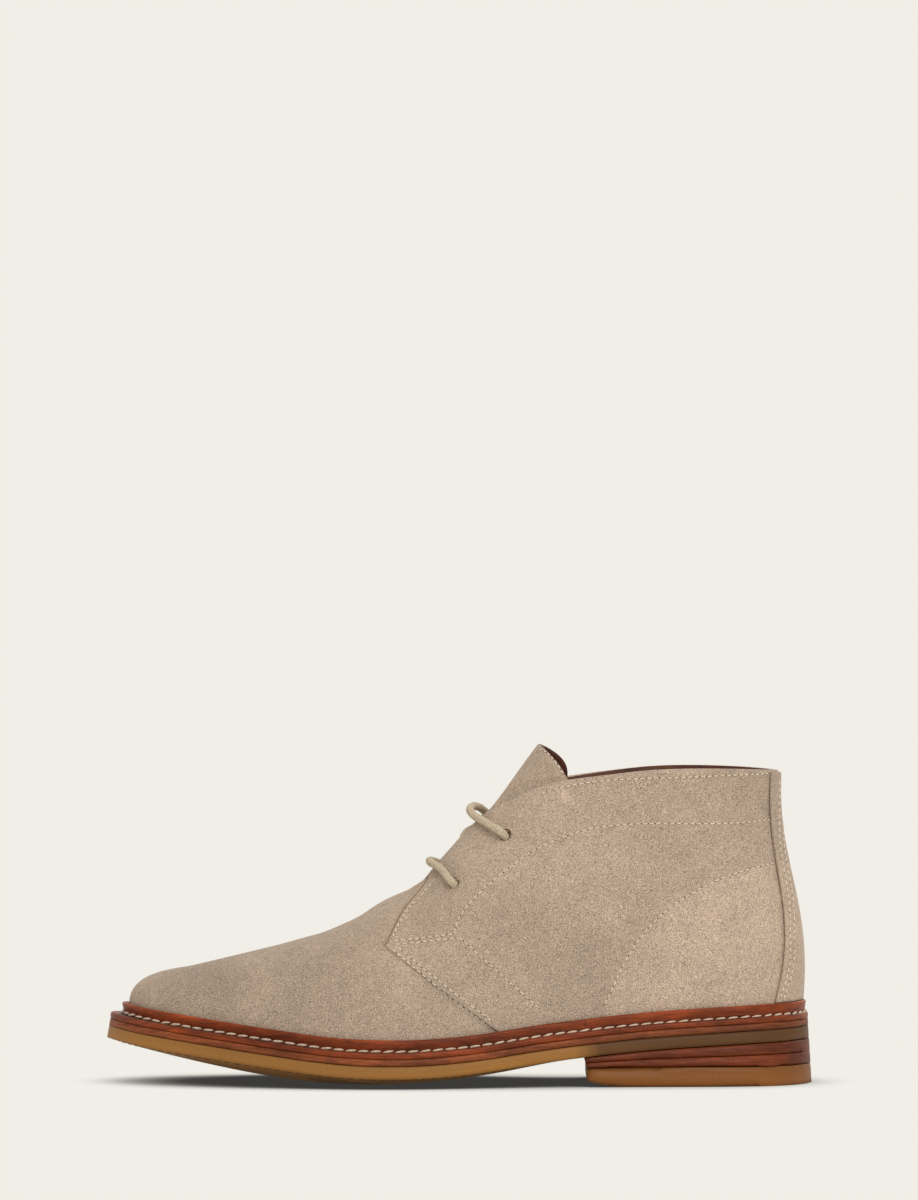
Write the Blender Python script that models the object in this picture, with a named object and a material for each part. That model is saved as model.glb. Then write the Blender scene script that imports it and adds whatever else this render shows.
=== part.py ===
"""A left chukka boot: suede upper, tongue, backstay and lace on a welted sole.

The toe points to -X, the outer side of the foot is -Y, and +Z is up. The origin is on the
floor, under the middle of the boot. Every height is worked out from the tread upwards.
"""

import math

import bmesh
import bpy
import numpy as np
from mathutils import Vector

MM = 0.001

# The last: the form that the upper is pulled over.
LAST_LENGTH = 286 * MM
BALL_WIDTH = 92 * MM
INSTEP_RISE = 74 * MM
COLLAR_RISE = 103.5 * MM
TOE_SWING = 4 * MM
TOE_SLOPE = 0.13

# The tread: how far the outsole's underside is above the floor.
HEEL_HEIGHT = 19.5 * MM
TOE_SPRING = 19 * MM
TREAD_CROWN = 7 * MM
ARCH_LIFT = 2.5 * MM
FLAT_TREAD = 0.4 * MM

# The layers of the sole.
OUTSOLE_THICKNESS = 4.7 * MM
MIDSOLE_THICKNESS = 2.8 * MM
WELT_THICKNESS = 2.5 * MM
SOLE_MARGIN = 8 * MM
TOP_PIECE_HEIGHT = 8.2 * MM
HEEL_LENGTH = 91.5 * MM
BREAST_SLANT = 2 * MM
BREAST_BEVEL = 8 * MM
BREAST_BEVEL_HEIGHT = 2.6 * MM

# The storm rim that stands up round the upper.
RIM_HEIGHT = 5 * MM
RIM_THICKNESS = 1.8 * MM
RIM_GAP = 0.4 * MM
RIM_LEAN = 1.1
WELT_EDGE_ROUND = 0.6 * MM
GROOVE_DEPTH = 0.7 * MM
GROOVE_WIDTH = 1 * MM

# The upper and what is laid on it.
WALL = 2 * MM
QUARTER_STEP = 1.1 * MM
TONGUE_THICKNESS = 2.2 * MM
INSOLE_THICKNESS = 4 * MM
BACKSTAY_THICKNESS = 1.1 * MM
BACKSTAY_TOP_WIDTH = 22 * MM
BACKSTAY_FOOT_WIDTH = 54 * MM
GAP = 0.3 * MM
HEEL_SEAT_GAP = 0.45 * MM

# The lace and its punched holes.
LACE_DIAMETER = 3.4 * MM
HOLE_DIAMETER = 4.4 * MM
LACE_GAP = 0.45 * MM
LACE_STEP = 0.80

# How many facets each form has.
VAMP_COLUMNS = 15
QUARTER_COLUMNS = 24
UPPER_ROWS = 13
SOLE_STATIONS = 30
SOLE_CROSSINGS = 8
HEEL_CROSSINGS = 4

# The feather line, where the upper meets the welt. Along is a share of the last's length from
# the toe. The sides are shares of the ball width from the middle line.
FEATHER = (
    # along, outer side, inner side
    (0.00, 0.000, 0.000),
    (0.02, 0.152, 0.152),
    (0.05, 0.244, 0.238),
    (0.10, 0.338, 0.318),
    (0.18, 0.432, 0.392),
    (0.27, 0.502, 0.440),
    (0.35, 0.540, 0.456),
    (0.42, 0.538, 0.436),
    (0.50, 0.500, 0.378),
    (0.60, 0.430, 0.308),
    (0.70, 0.372, 0.288),
    (0.80, 0.338, 0.302),
    (0.90, 0.314, 0.304),
    (0.96, 0.246, 0.246),
    (0.99, 0.134, 0.134),
    (1.00, 0.000, 0.000),
)

# How far the sole stands out past the feather line, as a share of the sole margin, and how
# much its edge leans out on the way down.
SOLE_EDGE = (
    # along, stand-out, lean
    (0.00, 1.00, 0.170),
    (0.06, 1.02, 0.120),
    (0.20, 1.00, 0.040),
    (0.40, 0.94, 0.020),
    (0.58, 0.72, 0.000),
    (0.72, 0.66, 0.030),
    (0.90, 0.66, 0.050),
    (1.00, 0.60, 0.054),
)

# The tread along its middle line: shares of the toe spring, the heel height, the crown and
# the inner arch's lift.
TREAD = (
    # along, toe, heel, crown, arch
    (-0.034, 1.020, 0.000, 0.05, 0.0),
    (0.000, 0.875, 0.000, 0.18, 0.0),
    (0.060, 0.640, 0.000, 0.46, 0.0),
    (0.129, 0.400, 0.000, 0.72, 0.0),
    (0.200, 0.190, 0.000, 0.88, 0.0),
    (0.260, 0.055, 0.000, 0.92, 0.0),
    (0.315, -0.020, 0.000, 0.86, 0.0),
    (0.360, -0.020, 0.000, 0.78, 0.0),
    (0.406, 0.000, 0.000, 0.68, 0.1),
    (0.465, 0.000, 0.075, 0.58, 0.5),
    (0.525, 0.000, 0.185, 0.50, 0.9),
    (0.601, 0.000, 0.400, 0.38, 1.0),
    (0.660, 0.000, 0.595, 0.14, 0.7),
    (0.700, 0.000, 0.700, 0.03, 0.4),
    (0.780, 0.000, 0.825, 0.00, 0.0),
    (0.884, 0.000, 0.925, 0.00, 0.0),
    (0.975, 0.000, 0.990, 0.00, 0.0),
    (1.023, 0.000, 1.010, 0.00, 0.0),
)

# The upper's sections. Each starts on the feather line, bulges out and ends at its top: on the
# ridge of the vamp, and behind the throat on the facing and the collar. The top's place along
# is a share of the last's length, its side a share of the ball width. Its rise is a share of
# the instep rise up to 1, and past 1 it goes on to the collar rise at 2. The pulls are shares
# of the chord, and the angles are in degrees.
THROAT_ALONG = 0.45
SECTIONS = (
    # along, top along, top rise, top side, pull, top pull, lean, tilt
    (0.00, 0.092, 0.336, 0.000, 0.42, 0.56, 12, 0),
    (0.03, 0.106, 0.352, 0.000, 0.41, 0.52, 11, 0),
    (0.08, 0.140, 0.405, 0.000, 0.38, 0.46, 9, 0),
    (0.15, 0.192, 0.482, 0.000, 0.36, 0.42, 7, 0),
    (0.25, 0.273, 0.610, 0.000, 0.38, 0.40, 8, 0),
    (0.35, 0.357, 0.782, 0.000, 0.38, 0.36, 7, 0),
    (0.40, 0.406, 0.895, 0.000, 0.38, 0.33, 6, 0),
    (0.45, 0.455, 1.000, 0.000, 0.38, 0.30, 5, 0),
    (0.49, 0.490, 1.370, 0.060, 0.38, 0.26, 5, 18),
    (0.53, 0.524, 1.686, 0.105, 0.38, 0.23, 5, 32),
    (0.575, 0.553, 1.860, 0.142, 0.38, 0.23, 5, 44),
    (0.62, 0.594, 2.000, 0.192, 0.38, 0.26, 5, 58),
    (0.68, 0.638, 2.110, 0.250, 0.38, 0.30, 6, 74),
    (0.74, 0.696, 2.130, 0.298, 0.38, 0.34, 7, 86),
    (0.81, 0.768, 2.143, 0.319, 0.39, 0.36, 8, 93),
    (0.88, 0.846, 2.116, 0.300, 0.41, 0.37, 9, 94),
    (0.94, 0.912, 2.068, 0.228, 0.43, 0.38, 8, 94),
    (0.98, 0.952, 2.030, 0.126, 0.44, 0.39, 8, 94),
    (1.00, 0.969, 2.010, 0.000, 0.44, 0.39, 8, 94),
)

# The quarter's front edge seen from the side, as shares of the last's length and of the
# instep rise. The corner's height is that of its row in the upper.
QUARTER_FOOT_ALONG = 0.570
QUARTER_CORNER_ALONG = 0.383
QUARTER_CORNER_RISE = 0.60
QUARTER_EDGE_BOW = 3 * MM
QUARTER_TOP_ALONG = 0.440

# The tongue's middle line past the throat. The first column is the place of the facing beside
# it, the others are the middle's own place along and its rise, in the sections' measures.
TONGUE_BASE_ALONG = 0.41
TONGUE_TOP_ALONG = 0.662
TONGUE_WING_ROWS = 2
TONGUE = (
    # facing along, middle along, middle rise
    (0.455, 0.460, 0.950),
    (0.490, 0.488, 1.210),
    (0.524, 0.518, 1.600),
    (0.553, 0.542, 1.850),
    (0.594, 0.566, 2.130),
    (0.638, 0.596, 2.500),
    (0.662, 0.620, 2.780),
)

# The punched holes on each side, and the lace's bar between each pair: where it passes over
# the facing, and its crest on the middle line. Rises are in the sections' measures.
HOLES = (
    # along, rise
    (0.489, 0.925),
    (0.564, 1.420),
)
BARS = (
    # section it crosses the facing in, share of the facing it lies on, crest along, crest rise
    (0.452, 0.84, 0.449, 1.096),
    (0.540, 1.00, 0.512, 1.760),
)
# The lace crosses itself on the tongue, between the bars: how far along its two lengths are
# where they are lowest and highest, how many of the tongue's columns they reach to each side,
# and how far they are above it.
CROSSING_LOW = 0.502
CROSSING_HIGH = 0.530
CROSSING_COLUMNS = 3
CROSSING_GAP = 0.4 * MM


def unit(vectors):
    return vectors / np.linalg.norm(vectors, axis=-1, keepdims=True)


def column(table, index):
    return np.array([row[index] for row in table], float)


def curve_through(knots, values, loop=0.0):
    """A cubic spline as a function of an array. It is periodic where loop is its period."""
    knots = np.asarray(knots, float)
    values = np.asarray(values, float)
    if loop:
        knots = np.append(knots, knots[0] + loop)
        values = np.append(values, values[0])
    count = len(knots)
    steps = np.diff(knots)
    slopes = np.diff(values) / steps
    matrix = np.eye(count)
    right = np.zeros(count)
    for row in range(1, count - 1):
        matrix[row, row - 1 : row + 2] = steps[row - 1], 2 * (steps[row - 1] + steps[row]), steps[row]
        right[row] = 6 * (slopes[row] - slopes[row - 1])
    if loop:
        matrix[0, -1] = -1
        matrix[-1] = 0
        matrix[-1, [0, 1, -2, -1]] = 2 * steps[0], steps[0], steps[-1], 2 * steps[-1]
        right[-1] = 6 * (slopes[0] - slopes[-1])
    bends = np.linalg.solve(matrix, right)

    def curve(places):
        places = np.asarray(places, float)
        if loop:
            places = (places - knots[0]) % loop + knots[0]
        else:
            places = np.clip(places, knots[0], knots[-1])
        span = np.clip(np.searchsorted(knots, places, side="right") - 1, 0, count - 2)
        step = steps[span]
        before = places - knots[span]
        after = knots[span + 1] - places
        bent = bends[span] * after**3 / (6 * step) + bends[span + 1] * before**3 / (6 * step)
        start = (values[span] / step - bends[span] * step / 6) * after
        return bent + start + (values[span + 1] / step - bends[span + 1] * step / 6) * before

    return curve


def turn_of(along):
    """The angle round the foot, 0 at the toe and pi at the heel, on the outer side."""
    return np.arccos(np.clip(1 - 2 * np.asarray(along, float), -1, 1))


def round_foot(table, outer_index, inner_index, odd=False):
    """A table's column as a periodic function of the angle round the foot."""
    turns = turn_of(column(table, 0))
    outer = column(table, outer_index)
    inner = column(table, inner_index)
    if odd:
        outer = -outer
    back = slice(-2, 0, -1)
    knots = np.concatenate([turns, 2 * math.pi - turns[back]])
    return curve_through(knots, np.concatenate([outer, inner[back]]), 2 * math.pi)


feather_side = round_foot(FEATHER, 1, 2, odd=True)
edge_out = round_foot(SOLE_EDGE, 1, 1)
edge_lean = round_foot(SOLE_EDGE, 2, 2)
top_along = round_foot(SECTIONS, 1, 1)
top_rise = round_foot(SECTIONS, 2, 2)
foot_pull = round_foot(SECTIONS, 4, 4)
top_pull = round_foot(SECTIONS, 5, 5)
foot_lean = round_foot(SECTIONS, 6, 6)
top_tilt = round_foot(SECTIONS, 7, 7)
throat_turn = float(turn_of(THROAT_ALONG))


def make_top_side():
    """The top's distance from the middle line: nothing before the throat, and odd at the heel."""
    rows = [row for row in SECTIONS if row[0] >= THROAT_ALONG]
    turns = turn_of(column(rows, 0))
    sides = -column(rows, 3)
    back = slice(-2, None, -1)
    knots = np.concatenate([turns, 2 * math.pi - turns[back]])
    inner = curve_through(knots, np.concatenate([sides, -sides[back]]))

    def side(turn):
        turn = np.asarray(turn, float) % (2 * math.pi)
        behind = np.abs(turn - math.pi) < math.pi - throat_turn
        return np.where(behind, inner(turn), 0.0)

    return side


top_side = make_top_side()


def middle_line(along):
    return TOE_SWING * np.clip(1 - along, 0, None) ** 2


def feather(turn):
    """The feather line in plan."""
    along = (1 - np.cos(turn)) / 2
    return np.stack([along * LAST_LENGTH, feather_side(turn) * BALL_WIDTH + middle_line(along)], -1)


def outward(turn):
    """The direction away from the foot, square to the feather line in plan."""
    step = 1e-3
    run = feather(np.asarray(turn) + step) - feather(np.asarray(turn) - step)
    return unit(np.stack([run[..., 1], -run[..., 0]], -1))


def outline(depth=0.0, inset=None):
    """The sole's outline this far below the welt's top, or the feather line moved in."""
    turns = np.linspace(0, 2 * math.pi, 721)
    if inset is None:
        out = edge_out(turns) * SOLE_MARGIN + edge_lean(turns) * depth
    else:
        out = np.full(len(turns), -inset)
    points = feather(turns) + outward(turns) * out[:, None]
    heel = int(np.argmax(points[:, 0]))
    return points[: heel + 1], points[heel:][::-1]


def sides_at(edges, x):
    """The outline's outer and inner side at x."""
    outer = np.interp(x, edges[0][:, 0], edges[0][:, 1])
    inner = np.interp(x, edges[1][:, 0], edges[1][:, 1])
    return outer, inner


WELT_EDGES = outline()
tread_toe = curve_through(column(TREAD, 0), column(TREAD, 1))
tread_heel = curve_through(column(TREAD, 0), column(TREAD, 2))
tread_crown = curve_through(column(TREAD, 0), column(TREAD, 3))
tread_arch = curve_through(column(TREAD, 0), column(TREAD, 4))


def across(x, y):
    """The place across the sole: -1 at its outer edge and 1 at its inner edge."""
    outer, inner = sides_at(WELT_EDGES, x)
    half = np.maximum((inner - outer) / 2, SOLE_MARGIN)
    return np.clip((y - (inner + outer) / 2) / half, -1, 1)


def edge_height(x, y):
    """The height of the outsole's lower edge."""
    along = x / LAST_LENGTH
    middle = tread_toe(along) * TOE_SPRING + tread_heel(along) * HEEL_HEIGHT
    arch = tread_arch(along) * ARCH_LIFT * np.clip(across(x, y), 0, 1) ** 2
    return middle + tread_crown(along) * TREAD_CROWN + arch


def underside(x, y):
    crown = tread_crown(x / LAST_LENGTH) * TREAD_CROWN
    return np.maximum(edge_height(x, y) - crown * (1 - across(x, y) ** 2) - FLAT_TREAD, 0)


MARGIN_SHARE = 0.82


def bed(x, y):
    """The layers' own height above the outsole's lower edge: level under the welt, and dished
    with the tread inside it."""
    crown = tread_crown(x / LAST_LENGTH) * TREAD_CROWN
    inside = np.minimum(np.abs(across(x, y)) / MARGIN_SHARE, 1)
    return edge_height(x, y) - crown * (1 - inside**2)


def layer(rise):
    return lambda x, y: bed(x, y) + rise


MIDSOLE_FOOT = OUTSOLE_THICKNESS + GAP
WELT_FOOT = MIDSOLE_FOOT + MIDSOLE_THICKNESS + GAP
WELT_TOP = WELT_FOOT + WELT_THICKNESS


def welt_height(turn):
    """The height of the welt's top beside the upper."""
    x, y = np.moveaxis(feather(turn), -1, 0)
    return edge_height(x, y) + WELT_TOP


def rise_of(share):
    """The sections' measure of height above the welt, in metres."""
    past = np.maximum(share - 1, 0)
    return np.minimum(share, 1) * INSTEP_RISE + past * (COLLAR_RISE - INSTEP_RISE)


def upper_point(turn, climb):
    """A point of the upper's outside: climb is 0 on the feather line and 1 at the top."""
    turn, climb = np.broadcast_arrays(np.asarray(turn, float), np.asarray(climb, float))
    foot_plan = feather(turn)
    out = outward(turn)
    up = np.array([0.0, 0.0, 1.0])
    foot = np.concatenate([foot_plan, (welt_height(turn) + GAP)[..., None]], -1)
    out = np.concatenate([out, np.zeros(turn.shape + (1,))], -1)
    along = top_along(turn)
    top_y = top_side(turn) * BALL_WIDTH + middle_line(along)
    floor = edge_height(along * LAST_LENGTH, top_y * 0) + WELT_TOP
    top = np.stack([along * LAST_LENGTH, top_y, floor + rise_of(top_rise(turn))], -1)
    chord = np.linalg.norm(top - foot, axis=-1, keepdims=True)
    lean = np.radians(foot_lean(turn))[..., None]
    tilt = np.radians(top_tilt(turn))[..., None]
    rise_along = out[..., :1] * TOE_SLOPE * up
    foot_hand = foot + foot_pull(turn)[..., None] * chord * (np.sin(lean) * out + np.cos(lean) * up)
    down = np.cos(tilt) * (out + rise_along) - np.sin(tilt) * up
    top_hand = top + top_pull(turn)[..., None] * chord * down
    t = climb[..., None]
    s = 1 - t
    return s**3 * foot + 3 * s**2 * t * foot_hand + 3 * s * t**2 * top_hand + t**3 * top


def upper_normal(turn, climb):
    """The upper's outward normal. On the ridge both sides have the same one."""
    turn, climb = np.broadcast_arrays(np.asarray(turn, float), np.asarray(climb, float))
    step = 4e-3
    low = np.clip(climb, 0, 1 - 4 * step)

    def one_side(angle):
        round_it = upper_point(angle + step, low) - upper_point(angle - step, low)
        up_it = upper_point(angle, low + step) - upper_point(angle, low)
        return unit(np.cross(round_it, up_it))

    normal = one_side(turn)
    mirrored = one_side(2 * math.pi - turn)
    on_ridge = (climb > 1 - 1e-9) & (np.abs(turn - math.pi) > math.pi - throat_turn - 1e-9)
    return np.where(on_ridge[..., None], unit(normal + mirrored), normal)


def upper_offset(turn, climb, distance):
    return upper_point(turn, climb) + upper_normal(turn, climb) * np.asarray(distance)[..., None]


def solve(function, low, high):
    """The place between low and high where a rising function is zero."""
    for _ in range(50):
        middle = (low + high) / 2
        if function(middle) > 0:
            high = middle
        else:
            low = middle
    return (low + high) / 2


def mirror_turn(turn, inner):
    return 2 * math.pi - turn if inner else turn


def corner_climb():
    """How far up the outer side the quarter's corner is, as a share of its section."""
    turn = float(turn_of(QUARTER_CORNER_ALONG))
    height = welt_height(turn) + QUARTER_CORNER_RISE * INSTEP_RISE
    return solve(lambda climb: upper_point(turn, climb)[2] - height, 0.0, 1.0)


CORNER_CLIMB = corner_climb()
LOW_ROWS = UPPER_ROWS // 2
CLIMBS = np.concatenate(
    [
        np.linspace(0, CORNER_CLIMB, LOW_ROWS + 1),
        np.linspace(CORNER_CLIMB, 1, UPPER_ROWS - LOW_ROWS + 1)[1:],
    ]
)


# The angles between which the places on one side of the foot are sought.
SIDE_TURNS = (0.3, 2.8)


def quarter_turns(inner):
    """For each row, the angle at which it meets the quarter's front edge seen from the side."""

    def at(turn, climb):
        return upper_point(mirror_turn(turn, inner), climb)

    corner_x = QUARTER_CORNER_ALONG * LAST_LENGTH
    corner_turn = solve(lambda turn: at(turn, CORNER_CLIMB)[0] - corner_x, *SIDE_TURNS)
    corner_z = at(corner_turn, CORNER_CLIMB)[2]
    foot_turn = solve(lambda turn: at(turn, 0)[0] - QUARTER_FOOT_ALONG * LAST_LENGTH, *SIDE_TURNS)
    foot_x, _, foot_z = at(foot_turn, 0)
    top_turn = solve(lambda turn: at(turn, 1)[0] - QUARTER_TOP_ALONG * LAST_LENGTH, *SIDE_TURNS)
    top_x, _, top_z = at(top_turn, 1)

    def edge_x(z):
        if z < corner_z:
            return foot_x + (corner_x - foot_x) * (z - foot_z) / (corner_z - foot_z)
        share = (z - corner_z) / (top_z - corner_z)
        return corner_x + (top_x - corner_x) * share - QUARTER_EDGE_BOW * math.sin(math.pi * share) * share

    def past_edge(turn, climb):
        x, _, z = at(turn, climb)
        return x - edge_x(z)

    turns = [solve(lambda turn: past_edge(turn, climb), *SIDE_TURNS) for climb in CLIMBS[1:-1]]
    return np.array([foot_turn, *turns, top_turn])


def upper_columns():
    """The angles of the upper's columns, row by row, and where its quarters begin. The columns
    go from the toe round the outer side to the heel and back along the inner side. The first
    column behind the front edge ends at the foot of the throat."""
    sides = []
    for inner in (False, True):
        edge = quarter_turns(inner)
        ahead = np.linspace(0, 1, VAMP_COLUMNS + 1)
        vamp = edge[:, None] * ahead[None, :]
        first = (throat_turn - edge[-1]) / (math.pi - edge[-1])
        behind = np.concatenate([[0], np.linspace(first, 1, QUARTER_COLUMNS)])
        quarter = edge[:, None] + (math.pi - edge[:, None]) * behind[None, :]
        sides.append((vamp, quarter))
    (vamp, quarter), (inner_vamp, inner_quarter) = sides
    inner_quarter = 2 * math.pi - inner_quarter[:, -2::-1]
    inner_vamp = 2 * math.pi - inner_vamp[:, :0:-1]
    turns = np.concatenate([vamp, quarter, inner_quarter, inner_vamp], axis=1)
    steps = np.zeros(turns.shape[1])
    start = vamp.shape[1]
    steps[start : start + quarter.shape[1] + inner_quarter.shape[1]] = QUARTER_STEP
    return turns, steps


UPPER_TURNS, UPPER_STEPS = upper_columns()


def clear_scene():
    for obj in list(bpy.data.objects):
        bpy.data.objects.remove(obj, do_unlink=True)


def new_collection(name):
    collection = bpy.data.collections.new(name)
    bpy.context.scene.collection.children.link(collection)
    return collection


def material(name, colour, roughness, metallic=0.0):
    made = bpy.data.materials.new(name)
    made.use_nodes = True
    shader = made.node_tree.nodes["Principled BSDF"]
    shader.inputs["Base Color"].default_value = (*colour, 1)
    shader.inputs["Roughness"].default_value = roughness
    shader.inputs["Metallic"].default_value = metallic
    return made


def add_grid(mesh, points):
    """Vertices for an array of points, as lists of rows."""
    return [[mesh.verts.new(point) for point in row] for row in np.asarray(points)]


def join_rows(mesh, first, second, closed=False, skip=()):
    """A strip of quads between two rows of vertices."""
    count = len(first)
    for index in range(count if closed else count - 1):
        after = (index + 1) % count
        if index not in skip:
            mesh.faces.new((first[index], first[after], second[after], second[index]))


def finish_mesh(mesh, name, look, collection):
    """Joins what meets, turns every face outwards and makes the object."""
    bmesh.ops.remove_doubles(mesh, verts=mesh.verts, dist=1e-6)
    bmesh.ops.dissolve_degenerate(mesh, edges=mesh.edges, dist=1e-6)
    bmesh.ops.triangulate(mesh, faces=mesh.faces)
    bmesh.ops.recalc_face_normals(mesh, faces=mesh.faces)
    data = bpy.data.meshes.new(name)
    mesh.to_mesh(data)
    mesh.free()
    data.materials.append(look)
    data.shade_smooth()
    data.set_sharp_from_angle(angle=math.radians(40))
    made = bpy.data.objects.new(name, data)
    collection.objects.link(made)
    return made


def shell(name, outside, inside, look, collection, closed=False, skip_top=()):
    """A wall between two grids of points, with its rims."""
    mesh = bmesh.new()
    outer = add_grid(mesh, outside)
    inner = add_grid(mesh, inside)
    for grid in (outer, inner):
        for first, second in zip(grid, grid[1:]):
            join_rows(mesh, first, second, closed)
    join_rows(mesh, outer[0], inner[0], closed)
    join_rows(mesh, outer[-1], inner[-1], closed, skip_top)
    if not closed:
        for end in (0, -1):
            join_rows(mesh, [row[end] for row in outer], [row[end] for row in inner])
    return finish_mesh(mesh, name, look, collection)


def slab(name, top_edges, foot_edges, top, foot, look, collection, start=None):
    """A layer of the sole between two outlines. A start cuts it off square there, with its
    place at the top and at the foot."""
    shares = (1 - np.cos(np.linspace(0, math.pi, SOLE_STATIONS + 1))) / 2
    if start:
        shares = np.sin(np.linspace(0, math.pi / 2, SOLE_STATIONS // 2 + 1))
    places = np.linspace(0, 1, (HEEL_CROSSINGS if start else SOLE_CROSSINGS) + 1)
    grids = []
    for edges, height, cut in ((top_edges, top, 0), (foot_edges, foot, 1)):
        low = start[cut] if start else edges[0][0, 0]
        x = low + shares * (edges[0][-1, 0] - low)
        outer, inner = sides_at(edges, x)
        y = outer[:, None] + (inner - outer)[:, None] * places[None, :]
        x = np.broadcast_to(x[:, None], y.shape)
        grids.append(np.stack([x, y, height(x, y)], -1))
    return shell(name, grids[0], grids[1], look, collection)


def make_upper(look, collection):
    climbs = np.broadcast_to(CLIMBS[:, None], UPPER_TURNS.shape)
    steps = np.broadcast_to(UPPER_STEPS[None, :], UPPER_TURNS.shape)
    outside = upper_offset(UPPER_TURNS, climbs, steps)
    inside = upper_offset(UPPER_TURNS, climbs, np.full(steps.shape, -WALL))
    tops = UPPER_TURNS[-1]
    on_ridge = np.abs(tops - math.pi) > math.pi - throat_turn - 1e-6
    skip = [index for index in range(len(tops)) if on_ridge[index] and on_ridge[(index + 1) % len(tops)]]
    return shell("upper", outside, inside, look, collection, closed=True, skip_top=skip)


def hole_place(along, rise, inner):
    """The angle and climb of a punched hole, found where the side view has it."""
    goal_x = along * LAST_LENGTH
    goal_z = edge_height(goal_x, 0.0) + WELT_TOP + rise_of(rise)
    turn = float(turn_of(along))
    climb = 0.8
    for _ in range(6):
        climb = solve(lambda c: upper_point(mirror_turn(turn, inner), c)[2] - goal_z, 0.0, 1.0)
        turn = solve(lambda a: upper_point(mirror_turn(a, inner), climb)[0] - goal_x, *SIDE_TURNS)
    return mirror_turn(turn, inner), climb


def punch_holes(upper, cutters):
    """Cuts the lace's holes square through the quarters."""
    depth = 6 * (WALL + QUARTER_STEP)
    for number, (along, rise) in enumerate(HOLES, 1):
        for inner in (False, True):
            turn, climb = hole_place(along, rise, inner)
            mesh = bmesh.new()
            bmesh.ops.create_cone(
                mesh,
                cap_ends=True,
                segments=16,
                radius1=HOLE_DIAMETER / 2,
                radius2=HOLE_DIAMETER / 2,
                depth=depth,
            )
            data = bpy.data.meshes.new("hole")
            mesh.to_mesh(data)
            mesh.free()
            side = "inner" if inner else "outer"
            cutter = bpy.data.objects.new(f"hole_{side}_{number}", data)
            cutter.location = upper_point(turn, climb)
            normal = Vector(upper_normal(turn, climb))
            cutter.rotation_euler = normal.to_track_quat("Z", "Y").to_euler()
            cutter.display_type = "WIRE"
            cutter.hide_render = True
            cutters.objects.link(cutter)
            cut = upper.modifiers.new(cutter.name, "BOOLEAN")
            cut.operation = "DIFFERENCE"
            cut.object = cutter


tongue_middle_along = curve_through(column(TONGUE, 0), column(TONGUE, 1))
tongue_middle_rise = curve_through(column(TONGUE, 0), column(TONGUE, 2))


def tongue_middle(facing_along):
    """The top of the tongue's middle line beside a place on the facing."""
    along = tongue_middle_along(facing_along)
    x = along * LAST_LENGTH
    rise = rise_of(tongue_middle_rise(facing_along))
    return np.array([x, middle_line(along), edge_height(x, 0.0) + WELT_TOP + rise])


# The room for the lace under the facings: its depth, and where it starts, is full, is full
# still and ends along the foot.
LACE_ROOM = LACE_DIAMETER + 4 * GAP
LACE_ROOM_ALONG = (0.43, 0.47, 0.58, 0.64)
# The tongue's arch between the facings: its columns on each side, and how far it goes on from
# the wing and along the crest, as shares of the reach.
ARCH_COLUMNS = 5
ARCH_WING_PULL = 0.35
ARCH_CREST_PULL = 0.5


def tongue_depth(along):
    """How far the tongue's top is below the upper's outside: close under the vamp and the
    collar, and the lace's thickness lower between them."""
    share = np.interp(along, LACE_ROOM_ALONG, (0, 1, 1, 0))
    return WALL + GAP + share * LACE_ROOM


def tongue_half(columns, inner):
    """The tongue's top on one side, station by station, from its wing to its middle, and the
    normals of its wings. Before the throat the wings spread evenly and meet on the ridge."""
    bridge = np.linspace(0, 1, ARCH_COLUMNS + 1)[1:]
    grid = []
    normals = []
    for index in columns:
        if inner:
            index = -index % UPPER_TURNS.shape[1]
        rows = slice(-1 - TONGUE_WING_ROWS, None)
        turns = UPPER_TURNS[rows, index]
        along = float(top_along(turns[-1]))
        climbs = CLIMBS[rows]
        before_throat = along <= float(top_along(throat_turn)) + 1e-9
        if before_throat:
            climbs = np.linspace(climbs[0], climbs[-1], len(climbs) + len(bridge))
            turns = np.interp(climbs, CLIMBS[rows], turns)
        wing = upper_offset(turns, climbs, np.full(len(turns), -tongue_depth(along)))
        wing_normals = upper_normal(turns, climbs)
        edge = wing[-1]
        if before_throat:
            grid.append(wing)
            normals.append(wing_normals)
            continue
        middle = tongue_middle(along)
        onward = unit(wing[-1] - wing[-2])
        reach = np.linalg.norm(middle - edge)
        edge_hand = edge + onward * reach * ARCH_WING_PULL
        middle_hand = middle + np.array([0, edge[1] - middle[1], 0]) * ARCH_CREST_PULL
        t = bridge[:, None]
        s = 1 - t
        arc = s**3 * edge + 3 * s**2 * t * edge_hand + 3 * s * t**2 * middle_hand + t**3 * middle
        grid.append(np.concatenate([wing, arc]))
        normals.append(np.concatenate([wing_normals, np.full(arc.shape, np.nan)]))
    return np.array(grid), np.array(normals)


def make_tongue(look, collection):
    tops = top_along(UPPER_TURNS[-1, : VAMP_COLUMNS + QUARTER_COLUMNS + 2])
    columns = [
        index
        for index, along in enumerate(tops)
        if TONGUE_BASE_ALONG <= along <= TONGUE_TOP_ALONG and index != VAMP_COLUMNS
    ]
    outer, outer_normals = tongue_half(columns, False)
    inner, inner_normals = tongue_half(columns, True)
    top = np.concatenate([outer, inner[:, -2::-1]], axis=1)
    known = np.concatenate([outer_normals, inner_normals[:, -2::-1]], axis=1)
    square = np.cross(np.gradient(top, axis=0), np.gradient(top, axis=1))
    size = np.linalg.norm(square, axis=-1, keepdims=True)
    square = square / np.maximum(size, 1e-12)
    square = np.where(square[..., 2:] < 0, -square, square)
    normals = np.where(np.isnan(known), square, known)
    shell("tongue", top, top - normals * TONGUE_THICKNESS, look, collection)
    return top, normals, tops[columns]


# The angles over which the rim steps out for the quarters: how far ahead of them it has
# started, and how long the step is.
RIM_STEP_AHEAD = 0.16
RIM_STEP_LENGTH = 0.12


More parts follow.
